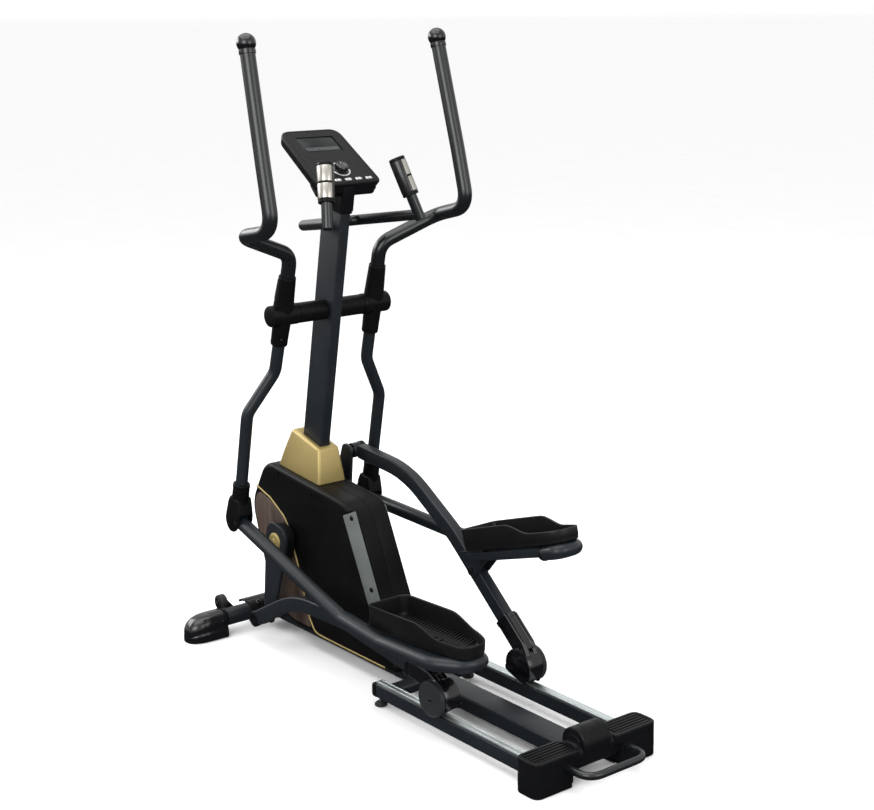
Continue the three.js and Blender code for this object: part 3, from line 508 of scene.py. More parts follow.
def painted_metal(name, slot, low, high, roughness=(0.34, 0.46), gloss=0.35):
    """Powder coat: a fine orange peel, faint clouding, and a thin dust in the roughness."""
    n = Nodes(name, slot)
    clouds = n.noise(7, 4)
    n.color(n.ramp(clouds, (0.3, low), (0.7, high)))
    n.roughness(n.range(n.noise(24, 3), *roughness))
    n.set(Metallic=0.0, Specular_IOR_Level=gloss)
    n.bump(n.noise(900, 2), 0.00002, 0.4)
    n.bump(n.noise(60, 2), 0.00002, 0.2)
    return n.material


def moulded_plastic(name, slot, low, high, roughness, grain=900, depth=0.00007, gloss=0.12):
    """Injection-moulded plastic with a spark-eroded grain and a little handling shine."""
    n = Nodes(name, slot)
    n.color(n.ramp(n.noise(14, 3), (0.3, low), (0.75, high)))
    n.roughness(n.range(n.noise(32, 5, 0.65), *roughness))
    n.set(Specular_IOR_Level=gloss)
    n.bump(n.cells(grain), 0.5 * depth, 0.5)
    n.bump(n.noise(26, 2), 0.0001, 0.12)
    return n.material


def gold_paint():
    """Champagne metallic paint: fine flakes, a soft clear coat and warm clouding."""
    n = Nodes("champagne_gold", "gold_paint")
    flakes = n.noise(2400, 2, 0.8)
    base = n.ramp(n.noise(9, 3), (0.3, (0.30, 0.225, 0.075)), (0.7, (0.37, 0.28, 0.10)))
    n.color(n.mix(n.range(flakes, 0.0, 0.35), base, (0.52, 0.42, 0.19)))
    n.roughness(n.range(n.noise(40, 4), 0.36, 0.46))
    n.set(Metallic=0.62, Coat_Weight=0.25, Coat_Roughness=0.22)
    n.bump(n.noise(900, 2), 0.00005, 0.5)
    return n.material


def walnut():
    """Dark walnut: broad and fine streaks along Z, open pores and a satin lacquer."""
    n = Nodes("walnut_panel", "walnut")
    broad = n.noise(1, 4, 0.6, n.stretched(34, 20, 2.2))
    fine = n.noise(1, 5, 0.75, n.stretched(210, 60, 6))
    pores = n.noise(1, 2, 0.5, n.stretched(900, 200, 22))
    tone = n.ramp(
        broad, (0.3, (0.012, 0.006, 0.004)), (0.44, (0.06, 0.034, 0.022)),
        (0.56, (0.11, 0.07, 0.048)), (0.7, (0.03, 0.017, 0.011)),
    )
    streaked = n.mix(n.range(fine, 0.05, 0.75), tone, (0.022, 0.013, 0.010))
    n.color(n.mix(n.range(pores, 0.0, 0.35), streaked, (0.02, 0.012, 0.01)))
    n.roughness(n.range(fine, 0.34, 0.5))
    n.set(Coat_Weight=0.2, Coat_Roughness=0.25)
    n.bump(pores, 0.00012, 0.5)
    return n.material


def brushed(name, slot, low, high, roughness, along, metallic=1.0):
    """Bare metal with fine lines drawn along one axis."""
    n = Nodes(name, slot)
    scales = [900, 900, 900]
    scales["XYZ".index(along)] = 9
    lines = n.noise(1, 4, 0.7, n.stretched(*scales))
    marks = n.noise(12, 2)
    n.color(n.ramp(lines, (0.3, low), (0.7, high)))
    n.roughness(n.range(marks, *roughness))
    n.set(Metallic=metallic)
    n.bump(lines, 0.00001, 0.4)
    return n.material


def rubbery(name, slot, low, high, roughness=(0.6, 0.8), grain=1300):
    n = Nodes(name, slot)
    n.color(n.ramp(n.noise(20, 4), (0.3, low), (0.75, high)))
    n.roughness(n.range(n.noise(24, 2), *roughness))
    n.bump(n.noise(grain, 3, 0.7), 0.00001, 0.4)
    return n.material


def screen_glass():
    """A nearly black window, with faint smears in its gloss."""
    n = Nodes("screen_window", "screen_glass")
    n.color(n.ramp(n.noise(30, 2), (0.3, (0.005, 0.006, 0.0065)), (0.75, (0.008, 0.0095, 0.01))))
    n.roughness(n.range(n.noise(24, 4), 0.16, 0.24))
    n.set(Specular_IOR_Level=0.12)
    n.bump(n.noise(200, 2), 0.00002, 0.3)
    return n.material


PAINT = painted_metal(
    "frame_paint", "painted_steel", (0.0062, 0.0082, 0.0105), (0.0088, 0.0115, 0.0145), (0.3, 0.4), 0.3)
BLACK_PAINT = painted_metal(
    "handle_paint", "painted_steel", (0.0035, 0.0042, 0.005), (0.005, 0.006, 0.007), (0.24, 0.29), 0.5)
PLASTIC = moulded_plastic(
    "moulded_black", "black_plastic", (0.0025, 0.0027, 0.0032), (0.004, 0.0042, 0.005), (0.32, 0.44))
SATIN = moulded_plastic(
    "shroud_plastic", "black_plastic", (0.002, 0.002, 0.0022), (0.0035, 0.0035, 0.0037), (0.34, 0.44),
    700, gloss=0.1)
GLOSS = moulded_plastic(
    "moulded_gloss", "gloss_plastic", (0.002, 0.0022, 0.003), (0.0035, 0.0038, 0.0048), (0.14, 0.24),
    300, 0.00002, 0.5)
TRAY = moulded_plastic(
    "tray_plastic", "black_plastic", (0.0035, 0.0035, 0.0038), (0.0055, 0.0055, 0.006), (0.3, 0.42),
    800, gloss=0.2)
GREY = painted_metal("grey_trim", "painted_steel", (0.075, 0.083, 0.082), (0.10, 0.108, 0.106), (0.38, 0.5))
GOLD = gold_paint()
WOOD = walnut()
ALUMINIUM = brushed("drawn_aluminium", "aluminium", (0.50, 0.55, 0.55), (0.72, 0.77, 0.77), (0.3, 0.44), "X")
CHROME = brushed("grip_steel", "silver", (0.36, 0.345, 0.31), (0.50, 0.48, 0.44), (0.24, 0.3), "Z")
SILVER = brushed("satin_silver", "silver", (0.42, 0.42, 0.43), (0.58, 0.58, 0.59), (0.28, 0.4), "Y", 0.85)
IRON = brushed("machined_iron", "cast_iron", (0.16, 0.16, 0.165), (0.26, 0.26, 0.27), (0.35, 0.5), "Y")
BOLT = brushed("blackened_bolt", "cast_iron", (0.02, 0.02, 0.022), (0.04, 0.04, 0.043), (0.3, 0.42), "Z", 0.9)
RUBBER = rubbery("black_rubber", "black_rubber", (0.005, 0.005, 0.005), (0.009, 0.009, 0.009))
FOAM = rubbery("grip_foam", "grip_foam", (0.004, 0.004, 0.0045), (0.007, 0.007, 0.008), (0.24, 0.3), 1800)
GLASS = screen_glass()
SEGMENT = painted_metal(
    "display_segment", "screen_glass", (0.10, 0.107, 0.107), (0.13, 0.137, 0.137), (0.4, 0.5))
DISC = moulded_plastic(
    "disc_plastic", "gloss_plastic", (0.014, 0.0155, 0.0165), (0.02, 0.0215, 0.023), (0.34, 0.44), 1100)

MACHINE = machine_matrix()
MIRRORED = {name: machine_matrix(side) for name, side in SIDES.items()}
POSE = {name: linkage(name) for name in SIDES}


def matrix_of(origin, z_axis, x_hint):
    """A frame at a point with a given Z axis, whose X axis lies as near as it can to a hint."""
    z = Vector(z_axis).normalized()
    x = Vector(x_hint)
    x = (x - z * x.dot(z)).normalized()
    y = z.cross(x)
    turn = Matrix((x, y, z)).transposed().to_4x4()
    return Matrix.Translation(origin) @ turn


def arc_band(inner, outer, start, end, steps=24):
    """The outline of part of a ring, from one angle to another, in radians."""
    angles = [start + (end - start) * k / steps for k in range(steps + 1)]
    return [Vector((outer * math.cos(a), outer * math.sin(a))) for a in angles] + [
        Vector((inner * math.cos(a), inner * math.sin(a))) for a in reversed(angles)
    ]


def resampled(points, step):
    """The same outline with its long edges split."""
    result = []
    for a, b in zip(points, points[1:] + points[:1]):
        count = max(1, math.ceil((b - a).length / step))
        result += [a.lerp(b, k / count) for k in range(count)]
    return result


def smooth_step(value, low, high):
    t = min(1, max(0, (value - low) / (high - low)))
    return t * t * (3 - 2 * t)


# ---------------------------------------------------------------- frame on the floor
def make_beam():
    beam = plate(rounded_rect(-37, 37, 22, 60, 6), 62, 1311, "X", 1)
    cross = plate(rounded_rect(598, 642, 30, 54, 5), -127.5, 127.5, "Y", 0.6)
    plates = plate(outline([(850, 59), (960, 59), (925, 250, 14), (885, 250, 14)]), 30, 35)
    axle = at(rounded_bar(8, -50, 31), 905, 0, 232)
    end_cap = plate(rounded_rect(-36, 36, 23, 59, 6), 59, 63, "X", 1)
    piece("main_beam_tube", "frame", MACHINE, (beam, PAINT), (cross, PAINT), (plates, PAINT), (axle, IRON),
          (end_cap, PLASTIC), replaces=["main_beam"])
    # The saddle cups the front tube, with a visor over its front and four bolts behind.
    x, z = FRONT_TUBE.x, FRONT_TUBE.z
    wrap = at(plate(arc_band(25.6, 30.2, math.radians(62), math.radians(252)), -111, 111, "Y", 0.8), x, 0, z)
    visor = plate(outline([
        (x + 8, z + 29.6), (x + 14, z + 26, 3), (x + 40, z + 20.6, 4), (x + 42, z + 16, 2),
        (x + 46, z + 17, 2),
        (x + 44.5, z + 24, 5), (x + 38, z + 26.4, 6), (x + 16, z + 31, 4),
    ], 5), -111, 111, "Y", 0.8)
    web = at(plate(rounded_rect(-58, 4, -11, 8, 4), -60, 60, "Y", 2), x - 22, 0, z)
    bolts = [facing(screw(8, 5.5, 3.2), x - 18, y, z + 26, (-0.62, 0, 0.78)) for y in (-84, -50, 50, 84)]
    piece("front_saddle", "frame", MACHINE, (wrap, PLASTIC), (visor, PLASTIC), (web, PAINT),
          *made_of(BOLT, bolts))


def make_front_tube():
    x, z = FRONT_TUBE.x, FRONT_TUBE.z
    wheel = TRANSPORT_WHEEL
    bar = at(rounded_bar(25, -240, 240, "Y", 1, 56), x, 0, z)
    parts = [(bar, PAINT)]
    ear = outline([(x + 4, z - 4, 3), (1393, 66, 8), (1389, 84, 8), (x - 4, z + 22, 3)])
    for sign in SIDES.values():
        middle = sign * wheel.y
        for reach in (-BRACKET_REACH, BRACKET_REACH):
            parts.append((plate(ear, middle + reach - 2, middle + reach + 2, "Y", 0.6), PLASTIC))
            outwards = (0, 1 if reach > 0 else -1, 0)
            head = facing(screw(5.5, 3, 2.4), wheel.x, middle + reach * 15 / BRACKET_REACH, wheel.z, outwards)
            parts.append((head, BOLT))
        parts.append((at(rounded_bar(4, middle - 14, middle + 14), wheel.x, 0, wheel.z), IRON))
    piece("front_stabilizer_tube", "frame", MACHINE, *parts, replaces=["front_stabilizer"])


def cap_section():
    """The front cap's section in XZ: a small step over the skirt, sloped shoulders and a flat top."""
    half, height, skirt = CAP_HALF, CAP_HEIGHT, CAP_SKIRT
    return outline([
        (-half, 0, 5), (half, 0, 5), (half, skirt, 4), (half - 2.5, skirt + 4, 4),
        (half - 3.5, height - 19, 14), (half - 17, height - 1, 14), (-half + 17, height - 1, 14),
        (-half + 3.5, height - 19, 14), (-half + 2.5, skirt + 4, 4), (-half, skirt, 4),
    ], 5)


def make_front_cap(side):
    # From its open end the cap runs straight, then closes over its end like a toe.
    toe = CAP_LENGTH - CAP_STRAIGHT
    distances = [0, 1, 3, CAP_STRAIGHT]
    distances += [CAP_STRAIGHT + toe * math.sin(math.pi / 2 * k / 16) for k in range(1, 17)]
    rings = []
    for distance in distances:
        t = max(0, distance - CAP_STRAIGHT) / toe
        chamfer = 1.2 if distance < 1 else 0
        width = CAP_HALF * max(max(0.0, 1 - t**3)**0.42, 0.12) - chamfer
        height = CAP_HEIGHT * (0.42 + 0.58 * math.sqrt(max(0.0, 1 - t**2.4))) - chamfer
        # The section is drawn narrower than the cap, and spread to it here.
        rings.append([
            (FRONT_TUBE.x + 6 + p.x * width / CAP_SPREAD, CAP_START + distance, p.y * height / CAP_HEIGHT)
            for p in cap_section()
        ])
    collar = at(lathe([(25.4, -6), (28.2, -6), (29, -4.5), (29, 3), (25.4, 3)], "Y", 48, True),
                FRONT_TUBE.x, CAP_START, FRONT_TUBE.z)
    head = facing(screw(4.5, 2.2), FRONT_TUBE.x - 34.6, 214, 50, (-1, 0, 0.05))
    piece(f"front_cap_shell_{side}", "frame", MIRRORED[side], (loft(rings), GLOSS), (collar, PLASTIC),
          (head, BOLT), replaces=[f"front_cap_{side}"], sharp=50)


def make_transport_wheel(side):
    tread = lathe(there_and_back([
        (14.5, -10), (20.6, -10), (22.2, -9), (23, -6.5), (23, -2.2), (22.3, -1.6),
    ]), "Y", 48, True)
    hub = lathe(there_and_back([(4.5, -10), (8.2, -10), (9, -9)]), "Y", 32, True)
    web = lathe(there_and_back([(8, -2), (15.5, -2)]), "Y", 40, True)
    spoke = bevelled(box(7, 15.6, -7.5, 7.5, -1.3, 1.3), 0.5, 1)
    spokes = [moved(spoke, Matrix.Rotation(k * math.pi / 3, 4, "Y")) for k in range(6)]
    place = MIRRORED[side] @ Matrix.Translation(TRANSPORT_WHEEL)
    piece(f"transport_wheel_tyre_{side}", f"transport_wheel_{side}", place, (tread, RUBBER), (hub, GLOSS),
          (web, GLOSS), *made_of(GLOSS, spokes), replaces=[f"transport_wheel_{side}"])


def make_rail(side):
    tube_body = plate(rounded_rect(128, 161, 26, 62, 4), 60.5, 652, "X", 0.5)
    # A black cap with a rounded front closes the rail.
    cap = plate(outline([
        (645, 25.6, 2), (664, 25.6, 9), (664, 62.6, 12), (645, 62.6, 2),
    ]), 127.4, 161.6, "Y", 3)
    piece(f"rail_tube_{side}", "frame", MIRRORED[side], (tube_body, PAINT), (cap, PLASTIC),
          replaces=[f"rail_{side}"])
    # The track is a drawn strip: a flat middle, a fine groove on each side of it and lower edges.
    section = outline([
        (-12, 62.2), (12, 62.2), (12, 64.8, 0.5), (8.4, 65.2, 0.3), (8.0, 64.3, 0.2), (6.4, 64.3, 0.2),
        (6.0, 65.2, 0.3), (-6.0, 65.2, 0.3), (-6.4, 64.3, 0.2), (-8.0, 64.3, 0.2), (-8.4, 65.2, 0.3),
        (-12, 64.8, 0.5),
    ], 2)
    strip = at(plate(section, 84, 650, "X", 0.2, 1), 0, RAIL_Y, 0)
    piece(f"rail_track_strip_{side}", "frame", MIRRORED[side], (strip, ALUMINIUM),
          replaces=[f"rail_track_{side}"])


def make_levelling_foot(side):
    pad = lathe([
        (0, 0), (14.5, 0), (16, 1.5), (16, 6), (15, 7.6), (11, 9), (9.5, 11.4), (6, 12), (5, 12.4),
    ], "Z", 40)
    thread = []
    for k in range(16):
        thread += [(5, 12.4 + 0.8 * k), (4.4, 12.8 + 0.8 * k)]
    stem = lathe(thread, "Z", 24)
    nut = plate(hexagon(8, 0.6), 20.5, 25.6, "Z", 0.5)
    grip = [at(rounded_bar(1.4, 0.6, 6.4, "Z", 0.6, 8), 15.3 * math.cos(a), 15.3 * math.sin(a))
            for a in [2 * math.pi * k / 18 for k in range(18)]]
    place = MIRRORED[side] @ Matrix.Translation((LEVELLING_X, RAIL_Y, 0))
    piece(f"levelling_foot_pad_{side}", f"levelling_foot_{side}", place, (pad, RUBBER), (stem, IRON),
          (nut, IRON), *made_of(RUBBER, grip), replaces=[f"levelling_foot_{side}"])


def make_rear():
    bar = plate(rounded_rect(18, 60, 28, 66, 5), -184, 184, "Y", 1)
    bridge = plate(rounded_rect(6, 68, 36, 77, 8), -79, 79, "Y", 2)
    # The round hump has a boss on each face and two grooves round it.
    hump = at(lathe(there_and_back([
        (0, -43), (22, -43), (23, -42.2), (30, -42), (37, -42), (40, -39.5), (40, -24), (39, -23.2),
        (39, -21.8), (40, -21),
    ]), "Y", 72), *HUMP)
    cheek = outline([(-36, -30, 6), (32, -30, 6), (32, 0, 14), (12, 14, 16), (-18, 14, 16), (-36, 0, 14)])
    cheeks = [at(plate(cheek, y - 10, y + 10, "Y", 5), 40, 0, 78) for y in (-50, 50)]
    y = PULL_HANDLE_Y
    handle = tube([(34, y, 50), (-66, y, 50), (-66, -y, 50), (34, -y, 50)], 9.5, 42, 32, 14)
    flanges = [at(rounded_bar(13.5, -4, 4, "X", 1.5, 36), 6, place, 50) for place in (-y, y)]
    piece("rear_stabilizer_bar", "frame", MACHINE, (bar, PAINT), (bridge, PLASTIC), (hump, PLASTIC),
          *made_of(PLASTIC, cheeks), (handle, BLACK_PAINT), *made_of(PLASTIC, flanges),
          replaces=["rear_stabilizer"])


def make_rear_foot(side):
    corners = [(0, 76, 9), (77, 76, 9), (77, 194.5, 24), (0, 194.5, 24)]
    base = outline(corners, 7)
    rings = []
    for d, z in ((2.5, 0), (1.2, 0.6), (0.6, 2.5), (0.2, 30), (1.2, 76), (2, 80)):
        rings.append([(p.x, p.y, z) for p in inset(base, d)])
    block = carved(loft(rings), box(-2, 30, 70, 84, -2, 12))
    # The pad lies over the block: a plate with a shallow well, and five ribs in the well.
    well = plate(outline([(10, 64, 14), (67, 64, 14), (67, 184, 12), (10, 184, 12)]), 83.2, 90, "Z", 0.1, 1)
    pad = carved(plate(outline([(0.5, 54, 14), (76.5, 54, 14), (76.5, 193.6, 24), (0.5, 193.6, 24)]),
                       62, 86, "Z", 3.5, 5), well)
    ribs = [plate(rounded_rect(13 + 10.9 * k, 19.6 + 10.9 * k, 69, 180, 3.2), 81, 86.2, "Z", 2, 4)
            for k in range(5)]
    piece(f"rear_foot_block_{side}", "frame", MIRRORED[side], (block, PLASTIC), (pad, PLASTIC),
          *made_of(PLASTIC, ribs), replaces=[f"rear_foot_{side}"])


# ---------------------------------------------------------------- mast, shroud and crossbar
MAST = pivot_matrix(CRANK.x, CRANK.z, MAST_LEAN)


def along_mast(z):
    return (z - CRANK.z) / math.cos(MAST_LEAN)


def make_mast():
    post = plate(rounded_rect(-44.5, 44.5, -15, 15, 5, 6), along_mast(62), along_mast(1262), "Z", 0.6)
    piece("mast_tube", "frame", MAST, (post, PAINT), replaces=["mast"])


def shroud_top(x):
    (x0, z0, _), (x1, z1, _) = SHROUD_CORNERS[-1], SHROUD_CORNERS[-2]
    return z0 + (x - x0) * (z1 - z0) / (x1 - x0)


def make_boot():
    """A tapered block whose foot follows the shroud's top and whose head slopes with it."""
    def ring(t, shrink, lift=0):
        x0, x1 = 1050 + 14 * t + shrink, 1247 - 55 * t - shrink
        y = 46 - 12 * t - shrink
        plan = rounded_rect(x0, x1, -y, y, 9 - 0.4 * shrink, 8)
        points = []
        for p in plan:
            foot = shroud_top(p.x) + BOOT_LIFT
            head = 572 + 36 * (p.x - 1064) / 128
            points.append((p.x, p.y, foot + (head - foot) * t + lift))
        return points
    rings = [ring(0, 1.4), ring(0.012, 0.3), ring(0.03, 0), ring(0.4, -0.4), ring(0.93, 0)]
    for k in range(1, 7):
        a = math.pi / 2 * k / 6
        rings.append(ring(0.93 + 0.07 * math.sin(a), 8 * (1 - math.cos(a))))
    rings.append(ring(1, 13, -0.4))
    rings.append(ring(1, 15, -3.5))
    piece("mast_boot_shell", "frame", MACHINE, (loft(rings), GOLD), replaces=["mast_boot"], sharp=50)


# The rear side edges of the shroud are chamfered: s runs down the edge and d into the side.
EDGE_TOP = Vector((877, 0, 457))
EDGE_DOWN = (Vector((683, 0, 43)) - EDGE_TOP).normalized()
EDGE_IN = Vector((-EDGE_DOWN.z, 0, EDGE_DOWN.x))
CHAMFER = 48
CHAMFER_Y = (47, 62)


def on_chamfer(s, d, lift=0):
    y = CHAMFER_Y[0] + (CHAMFER_Y[1] - CHAMFER_Y[0]) * d / CHAMFER
    point = EDGE_TOP + EDGE_DOWN * s + EDGE_IN * d
    return Vector((point.x, y + lift, point.z))


SHROUD_SCREWS = ((1222, 477), (1062, 449))


def make_shroud(side):
    shell = plate(outline(SHROUD_CORNERS, 10), 0.35, SHROUD_HALF, "Y", 1.2, 5, far_edge=13)
    wedge = loft([
        [on_chamfer(s, -14), on_chamfer(s, CHAMFER), on_chamfer(s, CHAMFER, 12), on_chamfer(s, -14, 30)]
        for s in (6, 276)
    ])
    holes = [at(rounded_bar(5.2, 58, 66, "Y", 0.2, 24), x, 0, z) for x, z in SHROUD_SCREWS]
    body = carved(shell, wedge, *holes)
    screws = [facing(screw(4.4, 1.6), x, 58.4, z, (0, 1, 0)) for x, z in SHROUD_SCREWS]
    piece(f"shroud_shell_{side}", "frame", MIRRORED[side], (body, SATIN), *made_of(BOLT, screws),
          replaces=[f"shroud_{side}"], sharp=35)
    # A satin strip covers the chamfer, with a screw hole near each end.
    normal = (on_chamfer(100, 0) - on_chamfer(100, 40)).cross(EDGE_DOWN).normalized()
    if normal.y < 0:
        normal = -normal
    to_strip = matrix_of(on_chamfer(0, 0, 0.2), normal, EDGE_DOWN)
    across = 1 if to_strip.to_3x3().col[1].dot(EDGE_IN) > 0 else -1
    width = CHAMFER / math.cos(math.atan2(CHAMFER_Y[1] - CHAMFER_Y[0], CHAMFER))
    strip = plate(outline([
        (11, across * 4, 4), (268, across * 4, 10), (268, across * (width - 4), 14),
        (11, across * (width - 1), 4),
    ]), 0, 1.8, "Z", 0.5)
    places = [(26, across * width * 0.46), (222, across * width * 0.46)]
    strip = carved(strip, *[at(rounded_bar(6.8, -2, 4, "Z", 0.2, 24), u, v) for u, v in places])
    heads = [at(screw(5.4, 1.2), u, v, -0.6) for u, v in places]
    piece(f"shroud_strip_{side}", "frame", MIRRORED[side] @ to_strip, (strip, GREY), *made_of(BOLT, heads))


TRIM_LINE = [(1339, 416), (1269, 395), (1201, 356), (1176, 325), (1158, 274), (1130, 213), (1107, 139),
             (1086, 86), (1064, 56)]


def make_shroud_trim(side):
    stops = [(x, 62.4, z) for x, z in TRIM_LINE]
    stops += [(1046, 61.6, 50.5), (1000, 60.6, 49), (740, 60.6, 49)]
    bead = [Vector((2.9 * p.x, 1.7 * p.y)) for p in circle(1, 16)]
    trim = sweep(bead, route(stops, 60, 6), Vector((0, 1, 0)))
    piece(f"gold_trim_{side}", "frame", MIRRORED[side], (trim, GOLD))
    panel = outline([
        (1078, 62, 8), (1178, 62, 30), (1274, 126, 50), (1352, 358, 40), (1330, 405, 25), (1262, 388, 30),
        (1186, 345, 30), (1150, 255, 20), (1105, 130, 20),
    ], 7)
    board = carved(plate(panel, 62, 64.8, "Y", 0.2, 2, far_edge=1.1),
                   at(rounded_bar(20, 55, 70, "Y", 0.2, 40), CRANK.x, 0, CRANK.z))
    piece(f"wood_panel_board_{side}", "frame", MIRRORED[side], (board, WOOD), replaces=[f"wood_panel_{side}"])


def make_crossbar():
    place = MACHINE @ Matrix.Translation(SWING)
    axle = rounded_bar(14, -182, 182, "Y", 1.5, 40)
    profile = [
        (15, 15.2), (24.5, 15.2), (27, 17.5), (27, 70), (26.2, 70.8), (26.2, 72), (27, 72.8), (27, 102),
        (25.8, 103.4), (15, 103.4),
    ]
    sleeves = [lathe([(radius, sign * y) for radius, y in profile], "Y", 56) for sign in SIDES.values()]
    piece("crossbar_sleeves", "frame", place, (axle, IRON), *made_of(SATIN, sleeves), replaces=["crossbar"])


# ---------------------------------------------------------------- fixed handlebar and console
GRIP_FOOT = Vector((838, 144, 1218))
GRIP_LINE = Vector((34, -22, 97)).normalized()


def make_fixed_handlebar():
    corners = [GRIP_FOOT, (1036, 88, 1190), (1036, -88, 1190), (GRIP_FOOT.x, -GRIP_FOOT.y, GRIP_FOOT.z)]
    tubes = [tube(corners, 14, 36, 32, 12)]
    stub = lathe([(0, -15), (12.2, -15), (13.6, -14.2), (14, -13), (14, 150)], "Z", 36)
    for sign in SIDES.values():
        line = Vector((GRIP_LINE.x, sign * GRIP_LINE.y, GRIP_LINE.z))
        foot = Vector((GRIP_FOOT.x, sign * GRIP_FOOT.y, GRIP_FOOT.z))
        tubes.append(moved(stub, matrix_of(foot, line, (1, 0, 0))))
    piece("fixed_handlebar_tube", "frame", MACHINE, *made_of(BLACK_PAINT, tubes),
          replaces=["fixed_handlebar"])


def make_pulse_grip(side):
    place = MIRRORED[side] @ matrix_of(GRIP_FOOT, GRIP_LINE, (-0.3, 0.95, 0))
    body = lathe([
        (14.2, 52), (19.5, 52), (21, 53), (21.3, 55), (21.3, 59), (20.6, 60), (20.6, 147), (21.3, 148),
        (21.3, 152.5), (20, 155), (16.5, 156), (15.8, 155), (0, 155),
    ], "Z", 48)
    spread = math.radians(84)
    contact = arc_band(20.4, 22, -spread, spread, 30)
    contacts = [plate(contact, z0, z1, "Z", 0.7) for z0, z1 in ((61.5, 100), (105, 146))]
    rest = plate(arc_band(20, 21.7, spread + 0.06, 2 * math.pi - spread - 0.06, 30), 61, 146.5, "Z", 0.6)
    band = plate(arc_band(20, 21.6, -spread - 0.06, spread + 0.06, 30), 100.6, 104.4, "Z", 0.4)
    piece(f"pulse_grip_body_{side}", "frame", place, (body, PLASTIC), (rest, FOAM), (band, PLASTIC),
          *made_of(CHROME, contacts), replaces=[f"pulse_grip_{side}"])


CONSOLE_FRAME = pivot_matrix(CONSOLE.x, CONSOLE.z, CONSOLE_TILT)
BUTTONS = [(2 - i) * 32.5 for i in range(5)]


def console_plan(d=0):
    return inset(outline(there_and_back([(-115.5, -100, 22), (115.5, -93, 34)]), 9), d)


def make_console():
    rings = []
    for d, z in ((16, -30), (9, -29.5), (5, -27), (3.2, -22), (2, -14), (0.4, -9), (0, -5), (0.8, -2.4),
                 (2.6, -0.7), (5.2, 0)):
        rings.append([(p.x, p.y, z) for p in console_plan(d)])
    slab = loft(rings)
    ring_tool = loft([[(p.x, p.y, z) for p in console_plan(d)]
                      for d, z in ((8, 1), (8, -0.7), (9.2, -0.7), (9.2, 1))], looped=True)
    window = plate(rounded_rect(20.5, 83.5, -58.5, 58.5, 3), -2.6, 2, "Z", 0.2, 1)
    sinks = [plate(rounded_rect(BUTTON_X - 6.5, BUTTON_X + 6.5, y - 11.5, y + 11.5, 4), -1.4, 2, "Z", 0.2, 1)
             for y in BUTTONS]
    face = carved(slab, ring_tool, window, *sinks)
    # The lower lip is a second, deeper layer under the near edge.
    lip_plan = outline(there_and_back([(-114.5, -94, 16), (-53.5, -82, 12)]), 6)
    lip = plate(lip_plan, -44, -12, "Z", 6, 4)
    step = plate(inset(lip_plan, -1.5), -27.5, -23.5, "Z", 1.8, 3)
    piece("console_body", "frame", CONSOLE_FRAME, *made_of(PLASTIC, (face, lip, step)),
          replaces=["console_case"], sharp=28)
    collar = plate(rounded_rect(-49.5, 49.5, -20, 20, 6), along_mast(1234), along_mast(1300), "Z", 1.5)
    lower = plate(rounded_rect(-48, 48, -18.5, 18.5, 6), along_mast(1228), along_mast(1240), "Z", 1)
    piece("console_neck", "frame", MAST, (collar, PLASTIC), (lower, PLASTIC))
    # A silver trim follows the lower half of the right-hand edge.
    line = [(-112, -88, -9), (-104, -99.5, -9), (-60, -99.2, -9), (4, -97.6, -9), (14, -94.5, -10)]
    oval = [Vector((1.6 * p.x, 3.2 * p.y)) for p in circle(1, 14)]
    trim = sweep(oval, route(line, 14, 6), Vector((0, 0, 1)))
    piece("console_edge_trim", "frame", CONSOLE_FRAME, (trim, SILVER))
    make_console_screen()
    make_console_controls()


def make_console_screen():
    glass = plate(rounded_rect(21, 83, -58, 58, 2.6), -3, -1.6, "Z", 0.3, 2)
    cells = []
    for x in (29, 40):
        cells.append(plate(rounded_rect(x - 0.55, x + 0.55, -50, 50, 0.3), -1.6, -1.35, "Z", 0.1, 1))
    for k in range(6):
        y = -50 + 20 * k
        cells.append(plate(rounded_rect(29, 40, y - 0.5, y + 0.5, 0.3), -1.6, -1.35, "Z", 0.1, 1))
    for k in range(5):
        for j in range(3):
            y = -46 + 20 * k + 5.2 * j
            cells.append(plate(rounded_rect(31.6, 37.4, y, y + 2.6, 0.6), -1.6, -1.4, "Z", 0.1, 1))
    piece("console_display", "frame", CONSOLE_FRAME, (glass, GLASS), *made_of(SEGMENT, cells),
          replaces=["console_screen"])


def make_console_controls():
    ring = plate(arc_band(22.6, 27.4, math.radians(-35), math.radians(265), 44), -0.3, 2.4, "Z", 0.9)
    place = CONSOLE_FRAME @ Matrix.Translation((KNOB_X, 0, 0))
    piece("console_knob_ring", "frame", place, (ring, SILVER))
    body = lathe([
        (0, 0.4), (21, 0.4), (21.5, 1.6), (20.5, 3.4), (18, 4.2), (17.3, 6), (16.6, 14.6), (15, 16.6),
        (13, 17), (11.5, 16.2), (0, 15.8),
    ], "Z", 56)
    rib = bevelled(box(16.2, 18.3, -0.9, 0.9, 4.5, 14.5), 0.5, 1)
    ribs = [moved(rib, Matrix.Rotation(2 * math.pi * k / 20, 4, "Z")) for k in range(20)]
    mark = at(plate(rounded_rect(-3.4, 3.4, -0.7, 0.7, 0.6), 15.8, 16.3, "Z", 0.2, 1), 8.4, 0)
    piece("console_knob_cap", "knob", place, (body, GLOSS), *made_of(GLOSS, ribs), (mark, SILVER),
          replaces=["console_knob"])
    for number, y in enumerate(BUTTONS, 1):
        key = plate(rounded_rect(-5, 5, -10, 10, 3.6, 6), -4, 2.6, "Z", 0.4, 4, far_edge=1.8)
        key = carved(key, ball(22, 0, 0, 24.2, 24))
        place = CONSOLE_FRAME @ Matrix.Translation((BUTTON_X, y, 0))
        piece(f"console_button_cap_{number}", f"button_{number}", place, (key, SILVER),
              replaces=[f"console_button_{number}"])


